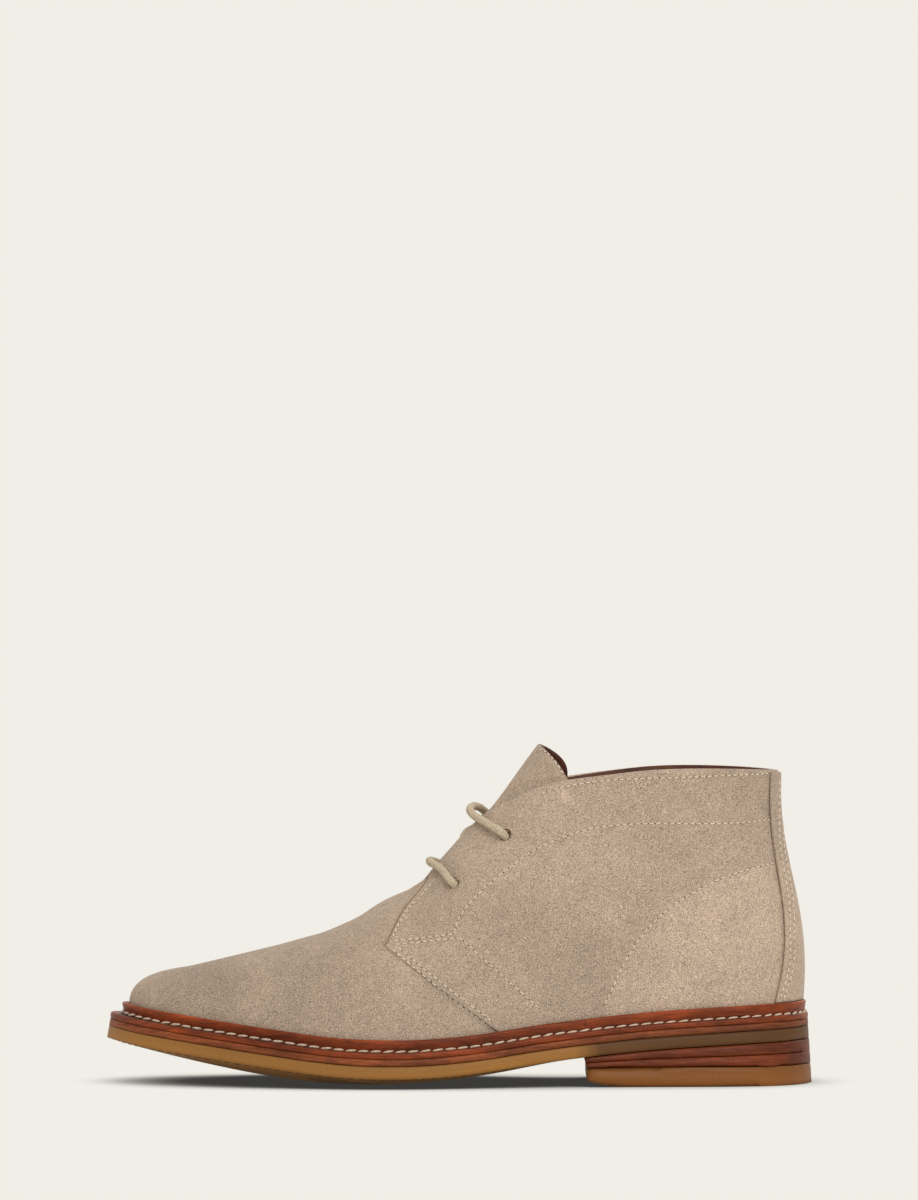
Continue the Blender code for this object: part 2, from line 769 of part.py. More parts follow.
def rim_room(turn):
    """How far the rim's inner face is from the upper's base: it steps out for the quarters."""
    start = min(quarter_turns(False)[0], quarter_turns(True)[0])
    from_heel = np.abs(np.asarray(turn) - math.pi)
    share = np.clip((math.pi - from_heel - start + RIM_STEP_AHEAD) / RIM_STEP_LENGTH, 0, 1)
    return RIM_GAP + QUARTER_STEP * share * share * (3 - 2 * share)


def make_welt(look, collection):
    """A ring: the shelf outside, the groove for the stitches, and the rim beside the upper."""
    count = 2 * (VAMP_COLUMNS + QUARTER_COLUMNS)
    turns = np.linspace(0, 2 * math.pi, count + 1)[:-1]
    room = rim_room(turns)
    lean = np.sin(np.radians(foot_lean(turns))) * RIM_LEAN
    stand = edge_out(turns) * SOLE_MARGIN
    lower = edge_lean(turns) * WELT_THICKNESS
    rim = RIM_HEIGHT * lean
    top = WELT_THICKNESS
    face = room + RIM_THICKNESS
    profile = (
        # outwards from the feather line, height above the welt's underside
        (-WALL + 0 * stand, 0),
        (stand + lower, 0),
        (stand + lower / 3, top - WELT_EDGE_ROUND),
        (stand - WELT_EDGE_ROUND, top),
        (np.minimum(face + GROOVE_WIDTH, stand - WELT_EDGE_ROUND * 1.5), top),
        (face, top - GROOVE_DEPTH),
        (face + rim * 0.9, top + RIM_HEIGHT - WELT_EDGE_ROUND),
        (face + rim - WELT_EDGE_ROUND, top + RIM_HEIGHT),
        (room + rim, top + RIM_HEIGHT),
        (room, top),
        (-WALL + 0 * stand, top),
    )
    rows = []
    for offset, height in profile:
        x, y = np.moveaxis(feather(turns) + outward(turns) * offset[:, None], -1, 0)
        rows.append(np.stack([x, y, edge_height(x, y) + WELT_FOOT + height], -1))
    mesh = bmesh.new()
    grid = add_grid(mesh, rows)
    for index, row in enumerate(grid):
        join_rows(mesh, row, grid[(index + 1) % len(grid)], closed=True)
    return finish_mesh(mesh, "welt", look, collection)


# The backstay's columns and its top as a climb, the least climb between two of its rows, how
# fast it widens downwards, and the most that it turns round the heel.
BACKSTAY_COLUMNS = 8
BACKSTAY_TOP = 0.992
BACKSTAY_ROW_GAP = 0.004
BACKSTAY_FLARE = 1.6
BACKSTAY_MOST_TURN = 1.2


def make_backstay(look, collection):
    """The strip over the back seam, laid on the quarters and cut off above the rim."""
    clear = welt_height(math.pi) + RIM_HEIGHT + 2 * GAP
    first = solve(lambda climb: upper_point(math.pi, climb)[2] - clear, 0.0, 1.0)
    rows = CLIMBS[(CLIMBS > first + BACKSTAY_ROW_GAP) & (CLIMBS < BACKSTAY_TOP - BACKSTAY_ROW_GAP)]
    climbs = np.concatenate([[first], rows, [BACKSTAY_TOP]])
    shares = np.linspace(-1, 1, BACKSTAY_COLUMNS + 1)
    turns = np.empty((len(climbs), len(shares)))
    for row, climb in enumerate(climbs):
        flare = (1 - climb) ** BACKSTAY_FLARE
        half = (BACKSTAY_TOP_WIDTH + (BACKSTAY_FOOT_WIDTH - BACKSTAY_TOP_WIDTH) * flare) / 2
        seam = upper_point(math.pi, climb)
        for index, share in enumerate(shares):
            goal = abs(share) * half

            def reach(turn):
                return np.linalg.norm(upper_point(math.pi - turn, climb) - seam) - goal

            turns[row, index] = math.pi + math.copysign(solve(reach, 0.0, BACKSTAY_MOST_TURN), share)
    climbs = np.broadcast_to(climbs[:, None], turns.shape)
    low = np.full(turns.shape, QUARTER_STEP + GAP)
    high = low + BACKSTAY_THICKNESS
    outside = upper_offset(turns, climbs, high)
    inside = upper_offset(turns, climbs, low)
    return shell("backstay", outside, inside, look, collection)


def smooth_path(points, spacing):
    """Evenly spaced points on a smooth curve through a few chosen ones."""
    points = np.asarray(points)
    lengths = np.append(0, np.cumsum(np.linalg.norm(np.diff(points, axis=0), axis=1)))
    curves = [curve_through(lengths, points[:, axis]) for axis in range(3)]
    count = max(4, int(lengths[-1] / spacing))
    places = np.linspace(0, lengths[-1], count + 1)
    return np.stack([curve(places) for curve in curves], -1)


def tube(name, path, look, collection):
    """A length of lace as a closed mesh."""
    curve = bpy.data.curves.new(name, "CURVE")
    curve.dimensions = "3D"
    curve.bevel_depth = LACE_DIAMETER / 2
    curve.bevel_resolution = 2
    curve.use_fill_caps = True
    spline = curve.splines.new("POLY")
    spline.points.add(len(path) - 1)
    for point, place in zip(spline.points, path):
        point.co = (*place, 1)
    guide = bpy.data.objects.new(name + "_guide", curve)
    bpy.context.scene.collection.objects.link(guide)
    bpy.context.view_layer.update()
    graph = bpy.context.evaluated_depsgraph_get()
    data = bpy.data.meshes.new_from_object(guide.evaluated_get(graph))
    bpy.data.objects.remove(guide, do_unlink=True)
    mesh = bmesh.new()
    mesh.from_mesh(data)
    return finish_mesh(mesh, name, look, collection)


def hole_frame(number, inner):
    """A hole's middle on the quarter's outside, its normal and its place on the upper."""
    turn, climb = hole_place(*HOLES[number], inner)
    normal = upper_normal(turn, climb)
    return upper_point(turn, climb) + normal * QUARTER_STEP, normal, turn, climb


def bar_path(number):
    """A lace bar: out of a hole, over both facings and into the hole across."""
    radius = LACE_DIAMETER / 2
    ride = QUARTER_STEP + radius + LACE_GAP
    section, rest, crest_along, crest_rise = BARS[number]
    halves = []
    for inner in (False, True):
        middle, normal, turn, climb = hole_frame(number, inner)
        edge_turn = mirror_turn(float(turn_of(section)), inner)
        shares = rest * np.array([0.45, 0.72, 1.0])
        turns = turn + (edge_turn - turn) * shares
        laid = upper_offset(turns, climb + (1 - climb) * shares, np.full(len(shares), ride))
        onward = laid[0] - middle
        onward = unit(onward - normal * np.dot(onward, normal))
        halves.append(
            [
                middle - normal * WALL * 0.5,
                middle + normal * radius * 0.7,
                middle + normal * radius * 1.7 + onward * radius * 0.8,
                *laid,
            ]
        )
    crest_x = crest_along * LAST_LENGTH
    crest_z = edge_height(crest_x, 0.0) + WELT_TOP + rise_of(crest_rise)
    crest = np.array([crest_x, middle_line(crest_along), crest_z])
    return [*halves[0], crest, *halves[1][::-1]]


def crossing_path(tongue_top, tongue_normals, stations, inner):
    """One of the two lengths that cross on the tongue, low on one side and high on the other."""
    ride = LACE_DIAMETER / 2 + CROSSING_GAP
    middle = tongue_top.shape[1] // 2
    side = 1 if inner else -1
    cells = np.arange(-CROSSING_COLUMNS, CROSSING_COLUMNS + 1)
    path = []
    for cell, along in zip(cells, np.linspace(CROSSING_HIGH, CROSSING_LOW, len(cells))):
        column_at = middle + side * cell
        place = [np.interp(along, stations, tongue_top[:, column_at, axis]) for axis in range(3)]
        normal = [np.interp(along, stations, tongue_normals[:, column_at, axis]) for axis in range(3)]
        path.append(np.array(place) + unit(np.array(normal)) * ride)
    return path


def make_lace(tongue_top, tongue_normals, stations, look, collection, cutters):
    """The lace's bars over the facings, and its two lengths joined where they cross."""
    spacing = LACE_DIAMETER * LACE_STEP
    for number, name in enumerate(("lace_lower_bar", "lace_upper_bar")):
        tube(name, smooth_path(bar_path(number), spacing), look, collection)
    lengths = []
    for name, inner, home in (("lace_crossing", False, collection), ("lace_crossing_arm", True, cutters)):
        path = smooth_path(crossing_path(tongue_top, tongue_normals, stations, inner), spacing)
        lengths.append(tube(name, path, look, home))
    crossing, arm = lengths
    arm.display_type = "WIRE"
    arm.hide_render = True
    joined = crossing.modifiers.new("arm", "BOOLEAN")
    joined.operation = "UNION"
    joined.object = arm


def heel_fall(share):
    """The height of the line between two heel layers: a share of the way down the stack."""
    def height(x, y):
        top = underside(x, y) - HEEL_SEAT_GAP
        return top + (TOP_PIECE_HEIGHT + GAP - top) * share

    return height


def make_heel(leather, gum, collection):
    """Two wedge lifts under the outsole and a gum top piece with a bevelled breast."""
    breast = LAST_LENGTH - HEEL_LENGTH

    def fall(depth):
        return outline(WELT_TOP + depth)

    def slant(depth):
        return breast + BREAST_SLANT * depth / HEEL_HEIGHT

    lowest = HEEL_HEIGHT - TOP_PIECE_HEIGHT
    middle = lowest / 2
    lift_line = heel_fall(0.5)
    slab(
        "heel_lift_1",
        fall(0.0),
        fall(middle),
        heel_fall(0.0),
        lambda x, y: lift_line(x, y) + GAP / 2,
        leather,
        collection,
        (slant(0), slant(middle)),
    )
    slab(
        "heel_lift_2",
        fall(middle),
        fall(lowest),
        lambda x, y: lift_line(x, y) - GAP / 2,
        lambda x, y: TOP_PIECE_HEIGHT + GAP + 0 * x,
        leather,
        collection,
        (slant(middle), slant(lowest)),
    )
    start = slant(lowest)

    def tread_foot(x, y):
        share = np.clip(1 - (x - start) / BREAST_BEVEL, 0, 1)
        return share * BREAST_BEVEL_HEIGHT

    slab(
        "heel_top_piece",
        fall(lowest),
        fall(HEEL_HEIGHT),
        lambda x, y: TOP_PIECE_HEIGHT + 0 * x,
        tread_foot,
        gum,
        collection,
        (start, start),
    )


def make_soles(leather, gum, board, collection):
    """The outsole, the midsole and the insole, one above the other."""
    slab(
        "outsole",
        outline(WELT_THICKNESS + MIDSOLE_THICKNESS),
        outline(WELT_TOP),
        layer(OUTSOLE_THICKNESS),
        underside,
        gum,
        collection,
    )
    slab(
        "midsole",
        outline(WELT_THICKNESS),
        outline(WELT_THICKNESS + MIDSOLE_THICKNESS),
        layer(WELT_FOOT - GAP),
        layer(MIDSOLE_FOOT),
        leather,
        collection,
    )
    inside = outline(inset=WALL + GAP)
    slab(
        "insole",
        inside,
        inside,
        layer(WELT_FOOT + GAP + INSOLE_THICKNESS),
        layer(WELT_FOOT + GAP),
        board,
        collection,
    )


def centre_on_floor(objects):
    """Moves every mesh so that the boot's box is centred on the origin and stands on it."""
    points = np.concatenate(
        [np.array([vertex.co for vertex in obj.data.vertices]) for obj in objects]
    )
    low, high = points.min(axis=0), points.max(axis=0)
    origin = bpy.data.objects.new("boot_origin", None)
    origin.location = (-(low[0] + high[0]) / 2, -(low[1] + high[1]) / 2, -low[2])
    bpy.context.scene.collection.objects.link(origin)
    return origin


def main():
    clear_scene()
    boot = new_collection("chukka_boot")
    cutters = new_collection("cutters")
    suede = material("suede", (0.39, 0.28, 0.20), 0.95)
    brown = material("brown_leather", (0.19, 0.045, 0.014), 0.45)
    gum = material("gum_rubber", (0.30, 0.125, 0.030), 0.5)
    board = material("insole_leather", (0.20, 0.075, 0.03), 0.7)
    waxed = material("waxed_lace", (0.44, 0.34, 0.22), 0.6)

    upper = make_upper(suede, boot)
    punch_holes(upper, cutters)
    tongue_top, tongue_normals, stations = make_tongue(suede, boot)
    make_welt(brown, boot)
    make_soles(brown, gum, board, boot)
    make_heel(brown, gum, boot)
    make_backstay(suede, boot)
    make_lace(tongue_top, tongue_normals, stations, waxed, boot, cutters)
    origin = centre_on_floor(list(boot.objects))
    for obj in list(boot.objects) + list(cutters.objects):
        obj.parent = origin


main()
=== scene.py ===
"""The looks of a suede chukka boot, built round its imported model.

Lengths are in metres in the row's frame: +X from the toe to the heel, -Y to the outer side.
Places on the boot's side are given in millimetres as seen square from that side.
"""

import math

import bmesh
import bpy
from bpy.props import FloatProperty, FloatVectorProperty, PointerProperty
from mathutils import Matrix, Vector, noise
from mathutils.bvhtree import BVHTree


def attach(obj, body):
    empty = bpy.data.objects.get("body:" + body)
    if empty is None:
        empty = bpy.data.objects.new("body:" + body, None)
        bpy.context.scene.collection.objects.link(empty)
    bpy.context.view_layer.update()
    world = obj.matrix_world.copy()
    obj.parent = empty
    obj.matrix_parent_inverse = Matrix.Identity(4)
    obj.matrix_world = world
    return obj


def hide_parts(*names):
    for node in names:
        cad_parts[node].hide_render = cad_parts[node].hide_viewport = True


bl_info = {
    "name": "Chukka Boot",
    "version": (1, 0, 0),
    "blender": (4, 5, 0),
    "location": "View3D > Sidebar > Boot",
    "description": "Suede, leather, gum, lace and seams of a left chukka boot",
    "category": "Object",
}

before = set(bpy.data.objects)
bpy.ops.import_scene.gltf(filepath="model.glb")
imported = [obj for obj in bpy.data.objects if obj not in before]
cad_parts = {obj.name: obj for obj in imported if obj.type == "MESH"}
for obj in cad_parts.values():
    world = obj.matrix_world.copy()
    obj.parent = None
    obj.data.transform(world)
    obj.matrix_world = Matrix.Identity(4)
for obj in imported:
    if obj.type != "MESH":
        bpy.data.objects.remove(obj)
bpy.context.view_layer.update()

MM = 0.001
UP = Vector((0, 0, 1))
OUTER = -1
INNER = 1

# The camera stands square to the outer side, a little above the boot's top.
CAMERA_DISTANCE = 4.0
CAMERA_HEIGHT = 0.260
CAMERA_AIM_HEIGHT = 0.2064
FRAME_HEIGHT = 0.5136
SENSOR = 36.0
CAMERA_CLIP = 100

# The floor's shadow looks this far for what hides the sky. It is full where only the first share
# of the sky is open, gone where the second is, and where it is full it keeps this much tone.
SHADOW_REACH = 46 * MM
SHADOW_FULL = 0.12
SHADOW_NONE = 0.84
SHADOW_TONE = 0.05
SHADOW_SAMPLES = 16
FLOOR_SIZE = 30
SKY_STRENGTH = 1.0
SUN_SOFTNESS = math.radians(35)
LIGHTS = (
    # name, direction that it comes from, power
    ("key_light", (0.5, -1.5, 1.0), 1.4),
    ("back_light", (0.6, 1.4, 1.2), 0.5),
)

# The middle of the inside of the boot, from the toe to the collar, as (x, z) in millimetres.
INSIDE_LINE = ((-118, 33), (-60, 38), (20, 50), (80, 62), (84, 135))

# Rows of stitches on the outer side, as (x, z) in millimetres seen from the side.
QUARTER_SEAMS = {
    "collar": ((34.9, 123.5), (46.7, 126.8), (66.6, 129.4), (98.2, 130.5), (132.0, 132.0)),
    "facing": (
        (-2.1, 63.5), (0.6, 71.3), (9.2, 81.4), (18.9, 89.6), (31.0, 98.4), (42.5, 104.0),
        (58.2, 108.8), (79.2, 110.6), (105.9, 110.6), (121.8, 111.2), (134.0, 112.4),
    ),
    "corner_upper": ((-28.3, 60.4), (-15.8, 61.6), (-1.5, 63.5)),
    "corner_lower": ((-27.6, 58.8), (-15.2, 60.0), (-0.6, 61.8)),
    "brace": ((-0.2, 62.2), (11.3, 51.9), (24.2, 40.4), (35.0, 31.0)),
    "edge_outer": ((-28.9, 57.0), (-7.9, 39.6), (11.0, 25.2)),
    "edge_inner": ((-26.4, 57.8), (-5.6, 40.8), (13.5, 26.4)),
    "front": ((-28.5, 61.8), (-23.3, 72.0), (-15.2, 81.0), (-9.8, 87.6)),
    "counter": (
        (135.0, 93.9), (118.8, 89.5), (106.1, 84.3), (95.1, 77.9), (86.3, 71.2),
        (78.4, 62.5), (71.3, 51.8), (66.0, 40.5), (62.4, 33.2),
    ),
}
TONGUE_SEAMS = {"tongue": ((34.6, 142.6), (37.6, 141.0), (41.6, 136.6), (45.2, 131.2))}
BACKSTAY_SEAMS = {
    "backstay_front": (
        (137.2, 129.5), (137.2, 105.8), (138.4, 94.7), (141.2, 78.0), (141.9, 56.6),
        (140.6, 45.9), (137.6, 36.0),
    ),
    "backstay_back": (
        (138.9, 129.5), (138.9, 105.8), (140.1, 94.7), (142.9, 78.0), (143.6, 56.6),
        (142.3, 45.9), (139.3, 36.4),
    ),
}
# A row is laid on the boot in steps of so many millimetres, and its stitches stand out of the
# surface by a share of the thread.
SEAM_STEP = 0.5
SEAM_RISE = 0.18

# The quarter's cut front edge above its corner, a dark line that is partly its raw edge and
# partly painted shade under it, and the joint of the rim, seen from the side.
CUT_EDGE = ((-31.6, 58.2), (-28.6, 64.6), (-25.4, 71.2), (-20.9, 77.6), (-16.4, 82.8), (-12.9, 88.2))
CUT_EDGE_STEP = 1.2
CUT_EDGE_THICKNESS = 0.68 * MM
CUT_EDGE_SINK = 0.12 * MM
RIM_JOINT = ((54.0, 23.6), (54.1, 25.4), (54.3, 27.2))
RIM_JOINT_STEP = 0.6
RIM_JOINT_THICKNESS = 0.35 * MM

# Soft troughs and ridges of the worn-in suede: two ends in millimetres seen from the side, the
# half width and the depth. A ridge has a depth below zero.
CREASES = (
    # x, z, x, z, half width, depth
    (-42, 70, -33, 52, 5.0, 0.45),
    (-36, 68, -27, 48, 4.0, -0.30),
    (-58, 60, -52, 44, 5.5, 0.35),
    (-75, 55, -72, 42, 6.0, 0.25),
    (18, 60, 48, 46, 8.0, 0.45),
    (26, 70, 58, 58, 7.0, -0.35),
    (62, 96, 118, 101, 7.0, 0.50),
    (66, 88, 108, 90, 7.0, -0.35),
    (40, 92, 62, 78, 8.0, 0.40),
    (84, 118, 122, 119, 6.0, 0.30),
    (100, 62, 122, 54, 10.0, -0.30),
    (132, 92, 138, 88, 4.0, 0.30),
)
# The slight unevenness all over: how close its waves lie, and its depth in millimetres.
WEAR_WAVES = 38
WEAR_DEPTH = 0.16

# Patches where the suede is drawn lighter or darker, partly where the nap lies differently and
# partly painted light, with the collar lighter and the vamp and toe darker than the lamps leave
# them: middle in millimetres, radius and amount.
NAP_AND_LIGHT_PATCHES = (
    # x, z, radius, amount
    (112, 62, 32, 0.16),
    (92, 44, 22, 0.10),
    (120, 88, 14, 0.12),
    (-110, 44, 18, -0.34),
    (-70, 48, 45, -0.20),
    (70, 118, 34, 0.22),
    (20, 80, 40, 0.10),
    (-84, 58, 14, 0.12),
    (-48, 50, 22, 0.16),
    (-62, 36, 16, -0.16),
    (-20, 50, 16, 0.14),
    (30, 62, 26, -0.12),
    (50, 92, 18, 0.16),
    (8, 100, 12, 0.20),
    (86, 102, 16, -0.14),
    (56, 44, 18, -0.14),
    (26, 130, 16, 0.16),
    (104, 122, 14, 0.10),
    (45.2, 123.6, 2.0, 0.60),
    (46.4, 120.6, 2.0, 0.60),
)
# The tone that changes nothing, and how far an amount of 1 takes it from there.
NO_TONE = 0.5
TONE_STRENGTH = 0.25
# The counter's suede is cut from a lighter part of the hide, and changes at its seam over so
# many millimetres.
COUNTER_TONE = 0.26
COUNTER_BLEND = 2.0

# How light each layer's edge is drawn from its foot to its top, as (share of its height, tone):
# partly the leather's and gum's own tone, and partly painted shade, deepest in the groove at the
# foot of the welt's rim.
EDGE_TONES_AND_SHADE = {
    "welt": ((0.0, 0.52), (0.26, 0.54), (0.36, 0.24), (0.50, 0.42), (0.86, 0.54), (1.0, 0.74)),
    "midsole": ((0.0, 0.36), (0.35, 0.50), (1.0, 0.52)),
    "outsole": ((0.0, 0.48), (0.4, 0.54), (1.0, 0.44)),
    "heel_lift_1": ((0.0, 0.52), (0.2, 0.41), (0.8, 0.42), (1.0, 0.52)),
    "heel_lift_2": ((0.0, 0.46), (0.3, 0.54), (0.8, 0.54), (1.0, 0.68)),
    "heel_top_piece": ((0.0, 0.56), (0.5, 0.52), (1.0, 0.42)),
}
# A layer's height is taken in columns this long, and is never less than the second length.
TONE_COLUMN = 4 * MM
THINNEST_LAYER = 0.5 * MM

# The stained stretch of gum over the heel starts and is full here.
HEEL_STAIN_START = 49 * MM
HEEL_STAIN_FULL = 60 * MM

# Where the lace goes through the quarters, as (x, z) in millimetres seen from the side, and the
# dark ring of painted shade round each. The surface round a hole is felt so many millimetres from it.
HOLES = ((-1.5, 85.6), (20.0, 106.2))
HOLE_RING_RADIUS = 2.15 * MM
HOLE_RING_THICKNESS = 0.72 * MM
HOLE_RING_PLACES = 24
HOLE_PROBE = 3.4

# The lace's bars over the facings, in millimetres, each from a hole to the one across from it.
UPPER_BAR = (
    (20.0, -19.6, 105.4), (19.4, -22.2, 106.4), (17.6, -23.4, 108.2), (13.6, -19.6, 110.4),
    (9.4, -13.6, 112.8), (6.2, -8.0, 114.6), (4.7, -1.6, 116.6), (6.0, 5.4, 117.9),
    (8.6, 11.4, 117.3), (11.0, 17.2, 115.3), (13.9, 22.7, 112.3), (17.8, 27.6, 108.0),
    (19.2, 27.2, 106.6), (20.0, 24.8, 105.6),
)
LOWER_BAR = (
    (-1.4, 23.8, 85.0), (-2.4, 26.4, 86.0), (-4.2, 26.6, 88.0), (-6.8, 19.6, 91.6),
    (-9.2, 13.6, 93.4), (-11.6, 8.0, 94.4), (-12.6, 3.0, 94.6), (-11.9, -2.6, 94.0),
    (-9.6, -8.8, 93.0), (-7.2, -14.8, 91.4), (-4.2, -23.2, 87.8), (-2.6, -23.4, 86.2),
    (-1.4, -21.0, 85.0),
)
# The length that goes down from the outer side's upper hole, and the one that goes back up.
FIRST_CROSSING = (
    (17.0, -13.5, 106.0), (12.2, -6.8, 108.0), (9.0, -1.8, 107.4), (5.2, 3.4, 105.4),
    (3.6, 8.4, 102.4), (2.6, 13.0, 98.0), (0.6, 18.6, 91.0),
)
SECOND_CROSSING = (
    (0.4, -15.8, 91.0), (1.6, -10.2, 97.0), (1.8, -4.6, 102.4), (2.4, 0.6, 105.8),
    (5.4, 5.6, 108.0), (10.2, 10.4, 109.4), (15.6, 17.0, 108.4),
)
LACE_STEP = 0.9 * MM
TUBE_RESOLUTION = 3

# Glued layers touch, so each grows by nearly half the gap that the solids keep.
LAYER_SWELL = 0.11 * MM

# A copied solid's points are merged this near, and its triangles joined within two angles. Then
# it is divided so many times, while its edges sharper than the last angle hold their shape.
MERGE_DISTANCE = 1e-6
JOIN_FACE_ANGLE = math.radians(32)
JOIN_SHAPE_ANGLE = math.radians(70)
FINER_LEVELS = 2
SHARP = math.radians(38)
# How firmly each solid's sharp edges hold, from 0 to 1.
EDGE_HOLD = {
    "upper": 0.75,
    "tongue": 0.70,
    "backstay": 0.60,
    "insole": 0.80,
    "welt": 0.97,
    "midsole": 0.97,
    "outsole": 0.95,
    "heel_lift_1": 0.97,
    "heel_lift_2": 0.97,
    "heel_top_piece": 0.95,
}
# A face that leans this far towards the inside of the boot, or more, is lining.
LINING_LEAN = 0.35

# An outline is searched for inwards from here, in steps, at this many places round it.
OUTLINE_START = 175 * MM
OUTLINE_END = 20 * MM
OUTLINE_STEP = 0.4 * MM
OUTLINE_PLACES = 720
OUTLINE_REACH = 4
# The shelf is level this far in from the welt's edge, and the rim stands less than this far in.
SHELF_PROBE = 0.4 * MM
SHELF_WIDEST = 8 * MM
# The rim is felt for at this height over the shelf, and the thread lies this far off the rim and
# off the shelf, all as shares of its thickness. Its path is evened over places to each side.
RIM_PROBE = 0.8
THREAD_OFF_RIM = 0.4
THREAD_OFF_SHELF = 0.3
EVENED_PLACES = 3
# Each stitch of the welt crosses its row by about this share of its length, more or less.
WELT_SLANT = 0.14
WELT_SLANT_SPREAD = 0.20
WELT_SLANT_WAVES = 400
# The stitches under the outsole end here, before the waist.
TREAD_SEAM_END = 28 * MM
# How many faces a bead has round it, and how many from end to end.
SEAM_BEAD = (6, 5)
NEEDLE_HOLE_BEAD = (5, 3)
THICK_BEAD = (8, 6)

# Noise lies mostly between these values, and is spread to run from 0 to 1.
NOISE_LOW = 0.34
NOISE_HIGH = 0.66
NOISE_ROUGHNESS = 0.65
RELIEF_DETAIL = 3.0


def linear(code):
    """An sRGB hex colour as linear numbers."""
    parts = [int(code[place : place + 2], 16) / 255 for place in (1, 3, 5)]
    return tuple(part / 12.92 if part <= 0.04045 else ((part + 0.055) / 1.055) ** 2.4 for part in parts)


def colour(name, description, code):
    return FloatVectorProperty(
        name=name, description=description, subtype="COLOR", size=3, min=0, max=1, default=linear(code)
    )


def length(name, description, millimetres):
    return FloatProperty(
        name=name, description=description, default=millimetres * MM, min=0, unit="LENGTH", precision=5
    )


class BootSizes(bpy.types.PropertyGroup):
    """Sizes of the boot's threads, lace and surfaces."""

    lace_diameter: length("Lace", "Diameter of the round lace", 3.5)
    seam_pitch: length("Seam pitch", "Distance between two stitches of the upper", 2.9)
    seam_stitch: length("Seam stitch", "Length of one stitch of the upper", 2.1)
    seam_thread: length("Seam thread", "Thickness of the upper's thread", 0.58)
    welt_pitch: length("Welt pitch", "Distance between two stitches of the welt", 5.3)
    welt_stitch: length("Welt stitch", "Length of one stitch of the welt", 4.7)
    welt_thread: length("Welt thread", "Thickness of the welt's thread", 1.15)
    tread_pitch: length("Tread pitch", "Distance between two stitches under the outsole", 4.6)
    tread_stitch: length("Tread stitch", "Length of one stitch under the outsole", 3.5)
    tread_thread: length("Tread thread", "Thickness of the thread under the outsole", 0.8)
    tread_inset: length("Tread inset", "Distance of the stitches from the outsole's edge", 2.6)
    nap_grain: length("Nap", "Size of the tufts of nap", 0.45)


class BootColours(bpy.types.PropertyGroup):
    """Colours of the boot's leathers, rubbers and threads."""

    suede: colour("Suede", "Sand suede", "#a28f7e")
    nap_sheen: colour("Nap sheen", "Pale sheen on the tips of the nap", "#f3efe7")
    # A dark line along the quarter's edge: partly the raw edge, partly painted shade under it.
    cut_edge_shade: colour("Cut edge", "Raw cut edge of the suede", "#7d634e")
    lining: colour("Lining", "Brown calf lining", "#4c2718")
    rim: colour("Rim", "Waxed leather of the storm rim", "#6c2e12")
    midsole: colour("Midsole", "Cut edge of the leather midsole", "#713a1e")
    stack: colour("Heel stack", "Cut edge of the heel's leather lifts", "#612b14")
    gum: colour("Gum", "Amber gum of the outsole", "#8b5f2c")
    gum_heel: colour("Gum at the heel", "Stained gum over the heel", "#553618")
    gum_top: colour("Gum top piece", "Darker gum that meets the ground", "#74461d")
    lace: colour("Lace", "Waxed cotton of the lace", "#b3a38c")
    seam: colour("Seam thread", "Thread of the upper's seams", "#d2c2ae")
    welt_thread: colour("Welt thread", "Waxed linen of the welt's stitches", "#bba793")
    tread_thread: colour("Tread thread", "Stained thread under the outsole", "#43230f")
    # Painted shade: the dark dots in the needle holes and the dark rings round the lace's holes.
    hole_shade: colour("Needle holes", "Dark holes that the needle left", "#5a4030")
    floor: colour("Floor", "Pale studio floor", "#f1eee7")


def sizes():
    return bpy.context.scene.boot_sizes


def colours():
    return bpy.context.scene.boot_colours


def solid(value):
    return (*value, 1.0)


def add(tree, kind, settings=None, inputs=None):
    """Adds a node with its settings, and with its inputs set to values or linked to sockets."""
    made = tree.nodes.new(kind)
    for name, value in (settings or {}).items():
        setattr(made, name, value)
    for key, value in (inputs or {}).items():
        if isinstance(value, bpy.types.NodeSocket):
            tree.links.new(value, made.inputs[key])
        else:
            made.inputs[key].default_value = value
    return made


def start_material(name):
    """An empty material, its nodes and the piece's own coordinates."""
    made = bpy.data.materials.new(name)
    made.use_nodes = True
    made.node_tree.nodes.clear()
    return made, made.node_tree, add(made.node_tree, "ShaderNodeTexCoord").outputs["Object"]


def end_material(tree, inputs):
    """The shader with its inputs, joined to the material's output."""
    shader = add(tree, "ShaderNodeBsdfPrincipled", inputs=inputs)
    add(tree, "ShaderNodeOutputMaterial", inputs={"Surface": shader.outputs[0]})


def mottle(tree, place, shade, layers):
    """Lays spots over a colour, and then the tone that each point of the piece carries.

    A layer of spots is their size, how many times they are drawn out level, detail and strength.
    """
    for grain, draw, detail, strength in layers:
        drawn = add(tree, "ShaderNodeMapping", inputs={0: place, "Scale": (1 / draw, 1 / draw, 1)})
        spots = add(
            tree,
            "ShaderNodeTexNoise",
            inputs={
                "Vector": drawn.outputs[0],
                "Scale": 1 / grain,
                "Detail": detail,
                "Roughness": NOISE_ROUGHNESS,
            },
        )
        spread = add(
            tree, "ShaderNodeMapRange", inputs={0: spots.outputs[0], 1: NOISE_LOW, 2: NOISE_HIGH}
        )
        laid = add(
            tree,
            "ShaderNodeMix",
            {"data_type": "RGBA", "blend_type": "OVERLAY"},
            {0: strength, 6: shade, 7: spread.outputs[0]},
        )
        shade = laid.outputs[2]
    tone = add(tree, "ShaderNodeAttribute", {"attribute_name": "tone"})
    toned = add(
        tree,
        "ShaderNodeMix",
        {"data_type": "RGBA", "blend_type": "OVERLAY"},
        {0: 1.0, 6: shade, 7: tone.outputs["Fac"]},
    )
    return toned.outputs[2]


